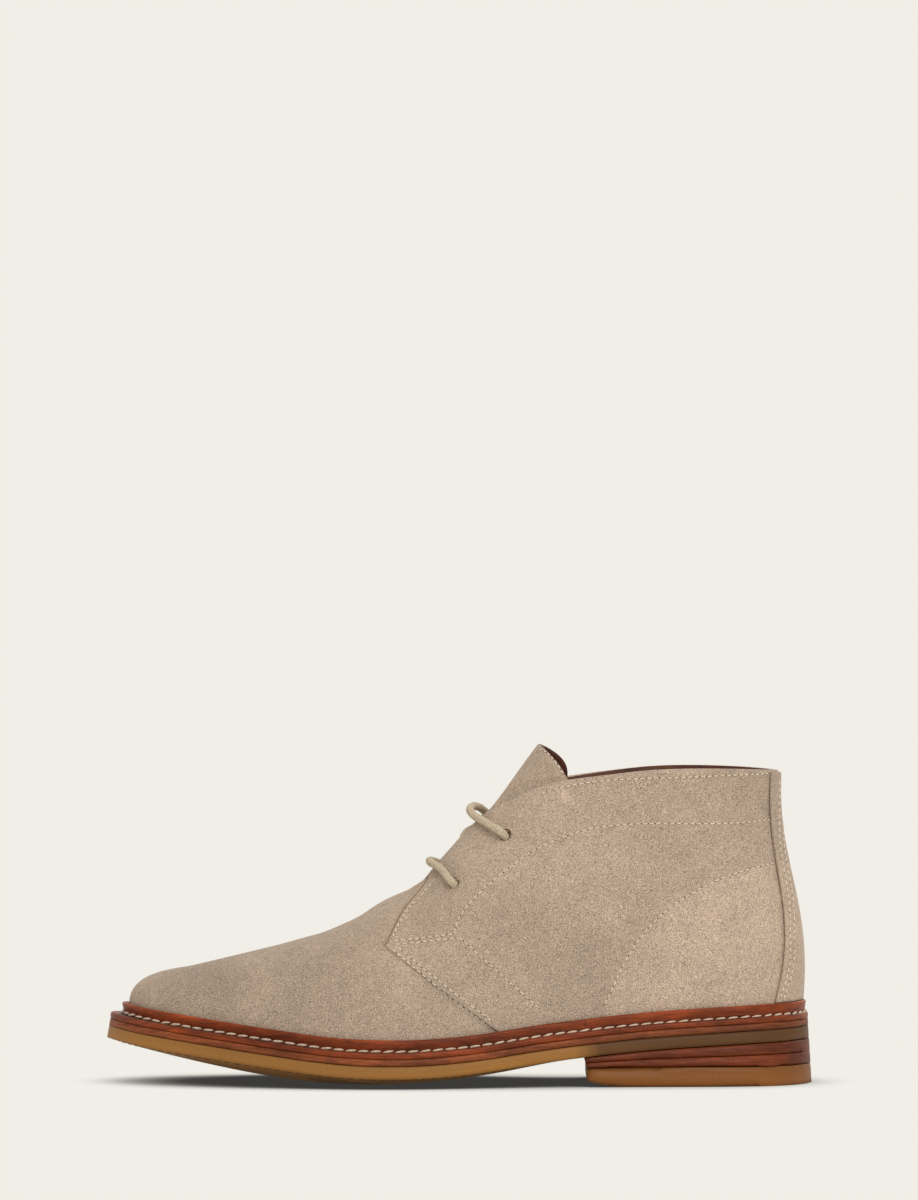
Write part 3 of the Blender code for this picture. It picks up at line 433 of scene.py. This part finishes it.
def relief(tree, place, grain, depth, strength):
    """The slope of a finely rough surface."""
    spots = add(
        tree,
        "ShaderNodeTexNoise",
        inputs={
            "Vector": place,
            "Scale": 1 / grain,
            "Detail": RELIEF_DETAIL,
            "Roughness": NOISE_ROUGHNESS,
        },
    )
    slope = add(
        tree,
        "ShaderNodeBump",
        inputs={"Strength": strength, "Distance": depth, "Height": spots.outputs[0]},
    )
    return slope.outputs[0]


def suede_material():
    # Split cow suede, buffed until a short nap stands up. It is matt and dusty, with a fine
    # speckle, and lighter or darker by each point's stored tone: partly where it has been brushed,
    # and partly painted light over the collar, vamp and toe. Real nap is about 0.15 mm, and it is
    # drawn three times as coarse so that it shows.
    made, tree, place = start_material("suede_buffed_sand")
    grain = sizes().nap_grain
    layers = ((grain, 1, 2, 0.52), (3.0 * MM, 1, 3, 0.05), (19 * MM, 1, 4, 0.07))
    end_material(
        tree,
        {
            "Base Color": mottle(tree, place, solid(colours().suede), layers),
            "Normal": relief(tree, place, grain, depth=0.35 * MM, strength=0.6),
            "Roughness": 0.96,
            "Specular IOR Level": 0.08,
            "Sheen Weight": 0.16,
            "Sheen Roughness": 0.45,
            "Sheen Tint": solid(colours().nap_sheen),
        },
    )
    return made


def lining_material():
    # Calf lining, smooth and vegetable tanned: dark brown, with fine pores and a low sheen.
    made, tree, place = start_material("calf_lining_smooth")
    end_material(
        tree,
        {
            "Base Color": mottle(tree, place, solid(colours().lining), ((14 * MM, 1, 3, 0.35),)),
            "Normal": relief(tree, place, 0.6 * MM, depth=0.08 * MM, strength=0.4),
            "Roughness": 0.55,
            "Specular IOR Level": 0.25,
        },
    )
    return made


def edge_leather_material(name, base, roughness, draw):
    # Bend leather, cut, waxed and burnished with a hot iron: fibres drawn along the edge and a
    # satin gloss, with painted shade from each point's stored tone, darkest in the groove at the
    # foot of the rim.
    made, tree, place = start_material(name)
    layers = ((1.0 * MM, draw, 4, 0.34), (9 * MM, 3, 4, 0.34), (0.6 * MM, 1, 2, 0.16))
    end_material(
        tree,
        {
            "Base Color": mottle(tree, place, solid(base), layers),
            "Normal": relief(tree, place, 0.8 * MM, depth=0.10 * MM, strength=0.45),
            "Roughness": roughness,
            "Specular IOR Level": 0.16,
        },
    )
    return made


def gum_material(name, base, stain):
    # Natural gum rubber, pressed in a mould: amber, slightly cloudy and satin, and stained
    # brown over the heel, where the edge dye has run.
    made, tree, place = start_material(name)
    shade = solid(base)
    if stain:
        along = add(tree, "ShaderNodeSeparateXYZ", inputs={0: place})
        share = add(
            tree,
            "ShaderNodeMapRange",
            inputs={0: along.outputs[0], 1: HEEL_STAIN_START, 2: HEEL_STAIN_FULL},
        )
        stained = add(
            tree,
            "ShaderNodeMix",
            {"data_type": "RGBA"},
            {0: share.outputs[0], 6: shade, 7: solid(stain)},
        )
        shade = stained.outputs[2]
    layers = ((16 * MM, 5, 2, 0.10), (0.7 * MM, 1, 2, 0.08))
    end_material(
        tree,
        {
            "Base Color": mottle(tree, place, shade, layers),
            "Normal": relief(tree, place, 0.7 * MM, depth=0.05 * MM, strength=0.3),
            "Roughness": 0.50,
            "Specular IOR Level": 0.20,
        },
    )
    return made


def thread_material(name, base, grain):
    # Twisted or braided yarn, drawn through wax: nearly matt, with darker gaps between strands.
    made, tree, place = start_material(name)
    end_material(
        tree,
        {
            "Base Color": mottle(tree, place, solid(base), ((grain, 1, 3, 0.32),)),
            "Normal": relief(tree, place, grain, depth=0.12 * MM, strength=0.5),
            "Roughness": 0.72,
            "Specular IOR Level": 0.20,
        },
    )
    return made


def floor_material():
    # Studio paper glowing one even pale tone, with a soft shadow painted where the boot hides the sky.
    made, tree, _ = start_material("studio_paper_matt")
    floor = colours().floor
    near = add(
        tree, "ShaderNodeAmbientOcclusion", {"samples": SHADOW_SAMPLES}, {"Distance": SHADOW_REACH}
    )
    light = add(
        tree, "ShaderNodeMapRange", inputs={0: near.outputs["AO"], 1: SHADOW_FULL, 2: SHADOW_NONE}
    )
    shade = add(
        tree,
        "ShaderNodeMix",
        {"data_type": "RGBA"},
        {0: light.outputs[0], 6: solid([part * SHADOW_TONE for part in floor]), 7: solid(floor)},
    )
    glow = add(tree, "ShaderNodeEmission", inputs={"Color": shade.outputs[2]})
    add(tree, "ShaderNodeOutputMaterial", inputs={"Surface": glow.outputs[0]})
    return made


MATERIALS = {}


def look(name):
    """A material, made once."""
    c = colours()
    makers = {
        "suede": suede_material,
        "lining": lining_material,
        "rim": lambda: edge_leather_material("leather_waxed_rim", c.rim, roughness=0.42, draw=9),
        "midsole": lambda: edge_leather_material(
            "leather_burnished_midsole", c.midsole, roughness=0.50, draw=8
        ),
        "stack": lambda: edge_leather_material(
            "leather_burnished_stack", c.stack, roughness=0.46, draw=16
        ),
        "gum": lambda: gum_material("gum_rubber_outsole", c.gum, stain=c.gum_heel),
        "gum_top": lambda: gum_material("gum_rubber_top_piece", c.gum_top, stain=None),
        "lace": lambda: thread_material("cotton_lace_waxed", c.lace, 0.8 * MM),
        "seam": lambda: thread_material("polyester_seam_thread", c.seam, 0.5 * MM),
        "welt_thread": lambda: thread_material("linen_welt_thread_waxed", c.welt_thread, 0.7 * MM),
        "tread_thread": lambda: thread_material("linen_tread_thread", c.tread_thread, 0.7 * MM),
        # The quarters' cut edges and the holes' dots and rings take the thread's look in dark colours:
        # painted shade, and at the cut edges also the raw edge.
        "cut_edge_shade": lambda: thread_material("suede_cut_edge", c.cut_edge_shade, 0.8 * MM),
        "hole_shade": lambda: thread_material("painted_hole_shade", c.hole_shade, 0.5 * MM),
    }
    if name not in MATERIALS:
        MATERIALS[name] = makers[name]()
    return MATERIALS[name]


def make_object(name, mesh, looks, replaced=()):
    """Finishes a bmesh as a piece: smooth, dressed and riding on the boot."""
    if "tone" not in mesh.verts.layers.float:
        tone = mesh.verts.layers.float.new("tone")
        for vertex in mesh.verts:
            vertex[tone] = NO_TONE
    data = bpy.data.meshes.new(name)
    mesh.to_mesh(data)
    mesh.free()
    for one in looks:
        data.materials.append(look(one))
    data.shade_smooth()
    made = bpy.data.objects.new(name, data)
    bpy.context.scene.collection.objects.link(made)
    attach(made, "root")
    if replaced:
        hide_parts(*replaced)


def lay_evaluated(mesh, guide):
    """Lays an object's evaluated shape into a bmesh, and removes the object."""
    bpy.context.scene.collection.objects.link(guide)
    bpy.context.view_layer.update()
    graph = bpy.context.evaluated_depsgraph_get()
    fine = bpy.data.meshes.new_from_object(guide.evaluated_get(graph))
    bpy.data.objects.remove(guide, do_unlink=True)
    mesh.from_mesh(fine)
    bpy.data.meshes.remove(fine)


def smoothed_copy(node):
    """A CAD node's mesh, merged and subdivided, with its sharp edges held."""
    coarse = bmesh.new()
    coarse.from_mesh(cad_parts[node].data)
    bmesh.ops.remove_doubles(coarse, verts=coarse.verts, dist=MERGE_DISTANCE)
    bmesh.ops.join_triangles(
        coarse,
        faces=coarse.faces,
        angle_face_threshold=JOIN_FACE_ANGLE,
        angle_shape_threshold=JOIN_SHAPE_ANGLE,
    )
    crease = coarse.edges.layers.float.new("crease_edge")
    for edge in coarse.edges:
        if len(edge.link_faces) == 2 and edge.calc_face_angle() > SHARP:
            edge[crease] = EDGE_HOLD[node]
    data = bpy.data.meshes.new(node + "_copy")
    coarse.to_mesh(data)
    coarse.free()
    guide = bpy.data.objects.new(node + "_guide", data)
    finer = guide.modifiers.new("finer", "SUBSURF")
    finer.levels = FINER_LEVELS
    finer.render_levels = FINER_LEVELS
    mesh = bmesh.new()
    lay_evaluated(mesh, guide)
    return mesh


def lay_tube(mesh, path, thickness, closed=False):
    """Lays a round tube along a path, as an open cord or a ring."""
    data = bpy.data.curves.new("tube", "CURVE")
    data.dimensions = "3D"
    data.bevel_depth = thickness / 2
    data.bevel_resolution = TUBE_RESOLUTION
    data.use_fill_caps = True
    spline = data.splines.new("POLY")
    spline.points.add(len(path) - 1)
    for point, place in zip(spline.points, path):
        point.co = (*place, 1)
    spline.use_cyclic_u = closed
    lay_evaluated(mesh, bpy.data.objects.new("tube_guide", data))
    bmesh.ops.remove_doubles(mesh, verts=mesh.verts, dist=MERGE_DISTANCE)
    bmesh.ops.recalc_face_normals(mesh, faces=mesh.faces)


def inside_middle(point):
    """The nearest place on the middle line of the boot's inside."""
    best = None
    for (x0, z0), (x1, z1) in zip(INSIDE_LINE, INSIDE_LINE[1:]):
        start = Vector((x0 * MM, 0, z0 * MM))
        run = Vector((x1 * MM, 0, z1 * MM)) - start
        flat = Vector((point.x, 0, point.z))
        share = min(1, max(0, (flat - start).dot(run) / run.length_squared))
        place = start + run * share
        if best is None or (flat - place).length < (flat - best).length:
            best = place
    return best


def as_seen(place):
    """A place's (x, z) in millimetres, as seen square from its own side."""
    near = CAMERA_DISTANCE / (CAMERA_DISTANCE - abs(place.y))
    return Vector((place.x * near, CAMERA_HEIGHT + (place.z - CAMERA_HEIGHT) * near)) / MM


def behind_counter(point):
    """How far an (x, z) place is over to the heel's side of the counter's seam, from 0 to 1."""
    seam = QUARTER_SEAMS["counter"]
    for (x0, z0), (x1, z1) in zip(seam, seam[1:]):
        if z1 <= point.y <= z0:
            line = x0 + (x1 - x0) * (z0 - point.y) / (z0 - z1)
            return min(1, max(0, (point.x - line) / COUNTER_BLEND + 0.5))
    foot_x, foot_z = seam[-1]
    return 1 if point.y < foot_z and point.x > foot_x else 0


def soften(mesh):
    """Presses the soft troughs and ridges into both faces of a wall, on both sides of the boot."""
    for vertex in mesh.verts:
        point = as_seen(vertex.co)
        depth = noise.noise(vertex.co * WEAR_WAVES) * WEAR_DEPTH
        for x0, z0, x1, z1, width, deep in CREASES:
            start = Vector((x0, z0))
            run = Vector((x1, z1)) - start
            share = min(1, max(0, (point - start).dot(run) / run.length_squared))
            away = (point - start - run * share).length / width
            depth += deep * math.exp(-away * away)
        inwards = (inside_middle(vertex.co) - vertex.co).normalized()
        vertex.co += inwards * depth * MM


def tone_nap_and_paint_light(mesh):
    """Stores how light the suede is drawn at each point: the counter's lighter hide, the nap's patches
    and painted light.
    """
    tone = mesh.verts.layers.float.new("tone")
    for vertex in mesh.verts:
        point = as_seen(vertex.co)
        total = COUNTER_TONE * behind_counter(point)
        for middle_x, middle_z, radius, amount in NAP_AND_LIGHT_PATCHES:
            away = (point - Vector((middle_x, middle_z))).length / radius
            total += amount * math.exp(-away * away)
        vertex[tone] = NO_TONE + TONE_STRENGTH * total


def shade_edge(mesh, stops):
    """Stores how light each point of a layer is, painted shade included, by its share of the layer's
    height there.
    """
    tone = mesh.verts.layers.float.new("tone")
    columns = {}
    for vertex in mesh.verts:
        columns.setdefault(round(vertex.co.x / TONE_COLUMN), []).append(vertex.co.z)
    spans = {column: (min(heights), max(heights)) for column, heights in columns.items()}
    for vertex in mesh.verts:
        low, high = spans[round(vertex.co.x / TONE_COLUMN)]
        share = (vertex.co.z - low) / max(high - low, THINNEST_LAYER)
        for (foot, first), (head, second) in zip(stops, stops[1:]):
            if foot <= share <= head:
                vertex[tone] = first + (second - first) * (share - foot) / (head - foot)


def line_inside(mesh):
    """Gives the faces that look into the boot the lining, the mesh's second material."""
    for face in mesh.faces:
        middle = face.calc_center_median()
        inwards = (inside_middle(middle) - middle).normalized()
        face.material_index = 1 if face.normal.dot(inwards) > LINING_LEAN else 0


def surface_of(name):
    """The surface of a finished piece, to project on."""
    mesh = bmesh.new()
    mesh.from_mesh(bpy.data.objects[name].data)
    tree = BVHTree.FromBMesh(mesh)
    mesh.free()
    return tree


def seen(surface, x, z, side):
    """Where a line of sight from one side, through (x, z) on the middle plane, meets a surface."""
    eye = Vector((0, side * CAMERA_DISTANCE, CAMERA_HEIGHT))
    toward = Vector((x * MM, 0, z * MM)) - eye
    place, normal, _, _ = surface.ray_cast(eye, toward.normalized())
    if place is None:
        return None
    return place, normal


def smooth_row(points, step):
    """A smooth path through a few points, as points about this far apart."""
    points = [Vector(point) for point in points]
    ends = [points[0] * 2 - points[1], *points, points[-1] * 2 - points[-2]]
    row = []
    for before, start, finish, after in zip(ends, ends[1:], ends[2:], ends[3:]):
        count = max(1, round((finish - start).length / step))
        for index in range(count):
            t = index / count
            row.append(
                0.5
                * (
                    2 * start
                    + (finish - before) * t
                    + (2 * before - 5 * start + 4 * finish - after) * t * t
                    + (3 * start - before - 3 * finish + after) * t**3
                )
            )
    row.append(points[-1])
    return row


def seen_row(surface, row, side, step):
    """A smooth row of (x, z) places laid on a surface, as (place, normal)."""
    found = [seen(surface, x, z, side) for x, z in smooth_row(row, step)]
    return [one for one in found if one]


def spaced(path, pitch):
    """Places at an even pitch along a path of (place, normal), each with its direction."""
    marks = []
    walked = 0.0
    goal = pitch / 2
    for (start, normal), (finish, _) in zip(path, path[1:]):
        stretch = (finish - start).length
        while stretch and walked + stretch >= goal:
            share = (goal - walked) / stretch
            marks.append((start.lerp(finish, share), normal, (finish - start).normalized()))
            goal += pitch
        walked += stretch
    return marks


def bead(mesh, place, along, normal, size, cut):
    """A rounded bead of this (length, width, height), with its length along a direction."""
    normal = (normal - along * normal.dot(along)).normalized()
    across = normal.cross(along)
    turn = Matrix((along, across, normal)).transposed().to_4x4()
    scale = Matrix.Diagonal((size[0] / 2, size[1] / 2, size[2] / 2, 1))
    round_it, end_to_end = cut
    bmesh.ops.create_uvsphere(
        mesh,
        u_segments=round_it,
        v_segments=end_to_end,
        radius=1,
        matrix=Matrix.Translation(place) @ turn @ scale @ Matrix.Rotation(math.pi / 2, 4, "Y"),
    )


def sew_rows(name, seams, surface):
    """Rows of stitches, and dark dots of painted shade in their needle holes, on both sides of the
    boot.
    """
    s = sizes()
    stitch_size = (s.seam_stitch, s.seam_thread, s.seam_thread)
    hole_size = (s.seam_thread, s.seam_thread, s.seam_thread / 2)
    stitches = bmesh.new()
    holes = bmesh.new()
    for row in seams.values():
        for side in (OUTER, INNER):
            path = seen_row(surface, row, side, SEAM_STEP)
            for place, normal, along in spaced(path, s.seam_pitch):
                raised = place + normal * s.seam_thread * SEAM_RISE
                bead(stitches, raised, along, normal, stitch_size, SEAM_BEAD)
                # A dark bead in the gap between two stitches is painted shade in the needle hole.
                gap = place + along * s.seam_pitch / 2
                bead(holes, gap, along, normal, hole_size, NEEDLE_HOLE_BEAD)
    make_object(name, stitches, ["seam"])
    make_object(name + "_needle_holes", holes, ["hole_shade"])


def hole_ring(surface, x, z, side):
    """The ring of painted shade round a hole, from the surface a little way outside it."""
    places = Vector()
    normals = Vector()
    turns = [2 * math.pi * step / HOLE_RING_PLACES for step in range(HOLE_RING_PLACES)]
    for turn in turns:
        probe_x = x + HOLE_PROBE * math.cos(turn)
        probe_z = z + HOLE_PROBE * math.sin(turn)
        place, normal = seen(surface, probe_x, probe_z, side)
        places += place
        normals += normal
    middle = places / len(turns)
    normal = normals.normalized()
    across = normal.orthogonal().normalized() * HOLE_RING_RADIUS
    up = normal.cross(across)
    return [middle + across * math.cos(turn) + up * math.sin(turn) for turn in turns]


def outline(surface):
    """The outer edge of a layer, as places round it from the heel, with the way in from each."""
    edges = []
    for step in range(OUTLINE_PLACES):
        angle = 2 * math.pi * step / OUTLINE_PLACES
        ray = Vector((math.cos(angle), math.sin(angle), 0))
        reach = OUTLINE_START
        place = None
        while place is None and reach > OUTLINE_END:
            place = surface.ray_cast(ray * reach + UP, -UP)[0]
            reach -= OUTLINE_STEP
        edges.append(place)
    found = []
    for index, edge in enumerate(edges):
        run = edges[(index + OUTLINE_REACH) % len(edges)] - edges[index - OUTLINE_REACH]
        found.append((edge, Vector((-run.y, run.x, 0)).normalized()))
    return found


class BOOT_OT_stage(bpy.types.Operator):
    """Make the floor, the lights and the camera"""

    bl_idname = "boot.stage"
    bl_label = "Stage"

    def execute(self, context):
        floor = bmesh.new()
        bmesh.ops.create_grid(floor, x_segments=1, y_segments=1, size=FLOOR_SIZE)
        data = bpy.data.meshes.new("studio_floor")
        floor.to_mesh(data)
        floor.free()
        data.materials.append(floor_material())
        made = bpy.data.objects.new("studio_floor", data)
        context.scene.collection.objects.link(made)
        self.add_lights(context)
        self.add_camera(context)
        return {"FINISHED"}

    def add_lights(self, context):
        for name, source, power in LIGHTS:
            light = bpy.data.lights.new(name, "SUN")
            light.energy = power
            light.angle = SUN_SOFTNESS
            made = bpy.data.objects.new(name, light)
            made.rotation_euler = (-Vector(source)).to_track_quat("-Z", "Y").to_euler()
            context.scene.collection.objects.link(made)
        world = bpy.data.worlds.new("studio")
        world.use_nodes = True
        sky = world.node_tree.nodes["Background"]
        sky.inputs["Color"].default_value = solid(colours().floor)
        sky.inputs["Strength"].default_value = SKY_STRENGTH
        context.scene.world = world
        context.scene.view_settings.view_transform = "Standard"

    def add_camera(self, context):
        data = bpy.data.cameras.new("camera")
        data.sensor_fit = "VERTICAL"
        data.sensor_height = SENSOR
        data.lens = SENSOR * CAMERA_DISTANCE / FRAME_HEIGHT
        data.clip_end = CAMERA_CLIP
        made = bpy.data.objects.new("camera", data)
        made.location = (0, -CAMERA_DISTANCE, CAMERA_HEIGHT)
        aim = Vector((0, 0, CAMERA_AIM_HEIGHT)) - made.location
        made.rotation_euler = aim.to_track_quat("-Z", "Y").to_euler()
        context.scene.collection.objects.link(made)
        context.scene.camera = made


class BOOT_OT_upper(bpy.types.Operator):
    """Make the suede upper with its lining, creases and nap"""

    bl_idname = "boot.upper"
    bl_label = "Upper"

    def execute(self, context):
        mesh = smoothed_copy("upper")
        soften(mesh)
        tone_nap_and_paint_light(mesh)
        mesh.normal_update()
        line_inside(mesh)
        make_object("suede_upper", mesh, ["suede", "lining"], ["upper"])
        return {"FINISHED"}


class BOOT_OT_tongue(bpy.types.Operator):
    """Make the suede tongue with its lining"""

    bl_idname = "boot.tongue"
    bl_label = "Tongue"

    def execute(self, context):
        mesh = smoothed_copy("tongue")
        tone_nap_and_paint_light(mesh)
        mesh.normal_update()
        line_inside(mesh)
        make_object("suede_tongue", mesh, ["suede", "lining"], ["tongue"])
        return {"FINISHED"}


class BOOT_OT_backstay(bpy.types.Operator):
    """Make the strip over the back seam"""

    bl_idname = "boot.backstay"
    bl_label = "Backstay"

    def execute(self, context):
        mesh = smoothed_copy("backstay")
        tone_nap_and_paint_light(mesh)
        make_object("suede_backstay", mesh, ["suede"], ["backstay"])
        return {"FINISHED"}


class BOOT_OT_insole(bpy.types.Operator):
    """Make the leather insole board"""

    bl_idname = "boot.insole"
    bl_label = "Insole"

    def execute(self, context):
        mesh = smoothed_copy("insole")
        make_object("insole_board", mesh, ["lining"], ["insole"])
        return {"FINISHED"}


class BOOT_OT_sole(bpy.types.Operator):
    """Make the welt, midsole, outsole and heel"""

    bl_idname = "boot.sole"
    bl_label = "Sole"

    def execute(self, context):
        rows = (
            # node, name, look, slot
            ("welt", "storm_welt", "rim", "brown_leather"),
            ("midsole", "leather_midsole", "midsole", "brown_leather"),
            ("outsole", "gum_outsole", "gum", "gum_rubber"),
            ("heel_lift_1", "leather_lift_upper", "stack", "brown_leather"),
            ("heel_lift_2", "leather_lift_lower", "stack", "brown_leather"),
            ("heel_top_piece", "gum_top_piece", "gum_top", "gum_rubber"),
        )
        for node, name, finish, slot in rows:
            mesh = smoothed_copy(node)
            mesh.normal_update()
            for vertex in mesh.verts:
                vertex.co += vertex.normal * LAYER_SWELL
                vertex.co.z = max(vertex.co.z, 0.0)
            shade_edge(mesh, EDGE_TONES_AND_SHADE[node])
            make_object(name, mesh, [finish], [node])
        return {"FINISHED"}


class BOOT_OT_lace(bpy.types.Operator):
    """Run one lace through the holes, over the facings and across the tongue"""

    bl_idname = "boot.lace"
    bl_label = "Lace"

    def execute(self, context):
        whole = [*FIRST_CROSSING, *LOWER_BAR, *SECOND_CROSSING, *UPPER_BAR[::-1]]
        path = smooth_row([Vector(point) * MM for point in whole], LACE_STEP)
        mesh = bmesh.new()
        lay_tube(mesh, path, sizes().lace_diameter)
        nodes = ["lace_lower_bar", "lace_upper_bar", "lace_crossing"]
        make_object("waxed_lace", mesh, ["lace"], nodes)
        return {"FINISHED"}


class BOOT_OT_edges(bpy.types.Operator):
    """Make the quarters' cut front edges, partly painted shade, the rings of painted shade round the
    lace's holes, and the joint of the rim
    """

    bl_idname = "boot.edges"
    bl_label = "Edges and hole rims"

    def execute(self, context):
        upper = surface_of("suede_upper")
        cut = bmesh.new()
        rings = bmesh.new()
        for side in (OUTER, INNER):
            found = seen_row(upper, CUT_EDGE, side, CUT_EDGE_STEP)
            path = [place - normal * CUT_EDGE_SINK for place, normal in found]
            lay_tube(cut, path, CUT_EDGE_THICKNESS)
            for x, z in HOLES:
                lay_tube(rings, hole_ring(upper, x, z, side), HOLE_RING_THICKNESS, closed=True)
        make_object("quarter_cut_edges", cut, ["cut_edge_shade"])
        make_object("lace_hole_rims", rings, ["hole_shade"])
        joint = bmesh.new()
        found = seen_row(surface_of("storm_welt"), RIM_JOINT, OUTER, RIM_JOINT_STEP)
        lay_tube(joint, [place for place, _ in found], RIM_JOINT_THICKNESS)
        make_object("rim_joint", joint, ["tread_thread"])
        return {"FINISHED"}


class BOOT_OT_seams(bpy.types.Operator):
    """Sew the rows of stitches of the quarters, counter, backstay and tongue"""

    bl_idname = "boot.seams"
    bl_label = "Seams"

    def execute(self, context):
        sew_rows("quarter_stitches", QUARTER_SEAMS, surface_of("suede_upper"))
        sew_rows("backstay_stitches", BACKSTAY_SEAMS, surface_of("suede_backstay"))
        sew_rows("tongue_stitches", TONGUE_SEAMS, surface_of("suede_tongue"))
        return {"FINISHED"}


class BOOT_OT_welt_stitches(bpy.types.Operator):
    """Sew the thick stitches in the groove at the foot of the rim"""

    bl_idname = "boot.welt_stitches"
    bl_label = "Welt stitches"

    def execute(self, context):
        s = sizes()
        surface = surface_of("storm_welt")
        path = []
        for edge, inwards in outline(surface):
            shelf = surface.ray_cast(edge + inwards * SHELF_PROBE + UP, -UP)[0]
            probe = Vector((edge.x, edge.y, shelf.z + s.welt_thread * RIM_PROBE))
            rim = surface.ray_cast(probe - inwards * SHELF_WIDEST, inwards, 2 * SHELF_WIDEST)[0]
            if rim is not None:
                place = rim - inwards * s.welt_thread * THREAD_OFF_RIM
                place.z = shelf.z + s.welt_thread * THREAD_OFF_SHELF
                path.append((place, UP - inwards))
        even = []
        for index, (_, normal) in enumerate(path):
            shifts = range(-EVENED_PLACES, EVENED_PLACES + 1)
            near = [path[(index + shift) % len(path)][0] for shift in shifts]
            even.append((sum(near, Vector()) / len(near), normal))
        even.append(even[0])
        size = (s.welt_stitch, s.welt_thread, s.welt_thread)
        mesh = bmesh.new()
        for place, normal, along in spaced(even, s.welt_pitch):
            lean = WELT_SLANT + WELT_SLANT_SPREAD * noise.noise(place * WELT_SLANT_WAVES)
            slant = (along + normal.cross(along).normalized() * lean).normalized()
            bead(mesh, place, slant, normal, size, THICK_BEAD)
        make_object("welt_stitches", mesh, ["welt_thread"])
        return {"FINISHED"}


class BOOT_OT_tread_stitches(bpy.types.Operator):
    """Sew the dark stitches that show under the forefoot, in from the outsole's edge"""

    bl_idname = "boot.tread_stitches"
    bl_label = "Tread stitches"

    def execute(self, context):
        s = sizes()
        surface = surface_of("gum_outsole")
        path = []
        for edge, inwards in outline(surface):
            below = edge + inwards * s.tread_inset - UP
            place, normal, _, _ = surface.ray_cast(below, UP)
            if place is not None and edge.x < TREAD_SEAM_END:
                path.append((place, normal))
        size = (s.tread_stitch, s.tread_thread, s.tread_thread / 2)
        mesh = bmesh.new()
        for place, normal, along in spaced(path, s.tread_pitch):
            bead(mesh, place, along, normal, size, THICK_BEAD)
        make_object("tread_stitches", mesh, ["tread_thread"])
        return {"FINISHED"}


OPERATORS = (
    BOOT_OT_stage,
    BOOT_OT_upper,
    BOOT_OT_tongue,
    BOOT_OT_backstay,
    BOOT_OT_insole,
    BOOT_OT_sole,
    BOOT_OT_lace,
    BOOT_OT_edges,
    BOOT_OT_seams,
    BOOT_OT_welt_stitches,
    BOOT_OT_tread_stitches,
)


class VIEW3D_PT_boot(bpy.types.Panel):
    """The boot's sizes, colours and pieces"""

    bl_label = "Chukka boot"
    bl_space_type = "VIEW_3D"
    bl_region_type = "UI"
    bl_category = "Boot"

    def draw(self, context):
        layout = self.layout
        for group in (context.scene.boot_sizes, context.scene.boot_colours):
            for name in group.__annotations__:
                layout.prop(group, name)
        for operator in OPERATORS:
            layout.operator(operator.bl_idname)


CLASSES = (BootSizes, BootColours, *OPERATORS, VIEW3D_PT_boot)


def register():
    for one in CLASSES:
        bpy.utils.register_class(one)
    bpy.types.Scene.boot_sizes = PointerProperty(type=BootSizes)
    bpy.types.Scene.boot_colours = PointerProperty(type=BootColours)


def unregister():
    del bpy.types.Scene.boot_colours
    del bpy.types.Scene.boot_sizes
    for one in reversed(CLASSES):
        bpy.utils.unregister_class(one)


def main():
    register()
    bpy.ops.boot.stage()
    bpy.ops.boot.upper()
    bpy.ops.boot.tongue()
    bpy.ops.boot.backstay()
    bpy.ops.boot.insole()
    bpy.ops.boot.sole()
    bpy.ops.boot.lace()
    bpy.ops.boot.edges()
    bpy.ops.boot.seams()
    bpy.ops.boot.welt_stitches()
    bpy.ops.boot.tread_stitches()


if __name__ == "__main__":
    main()
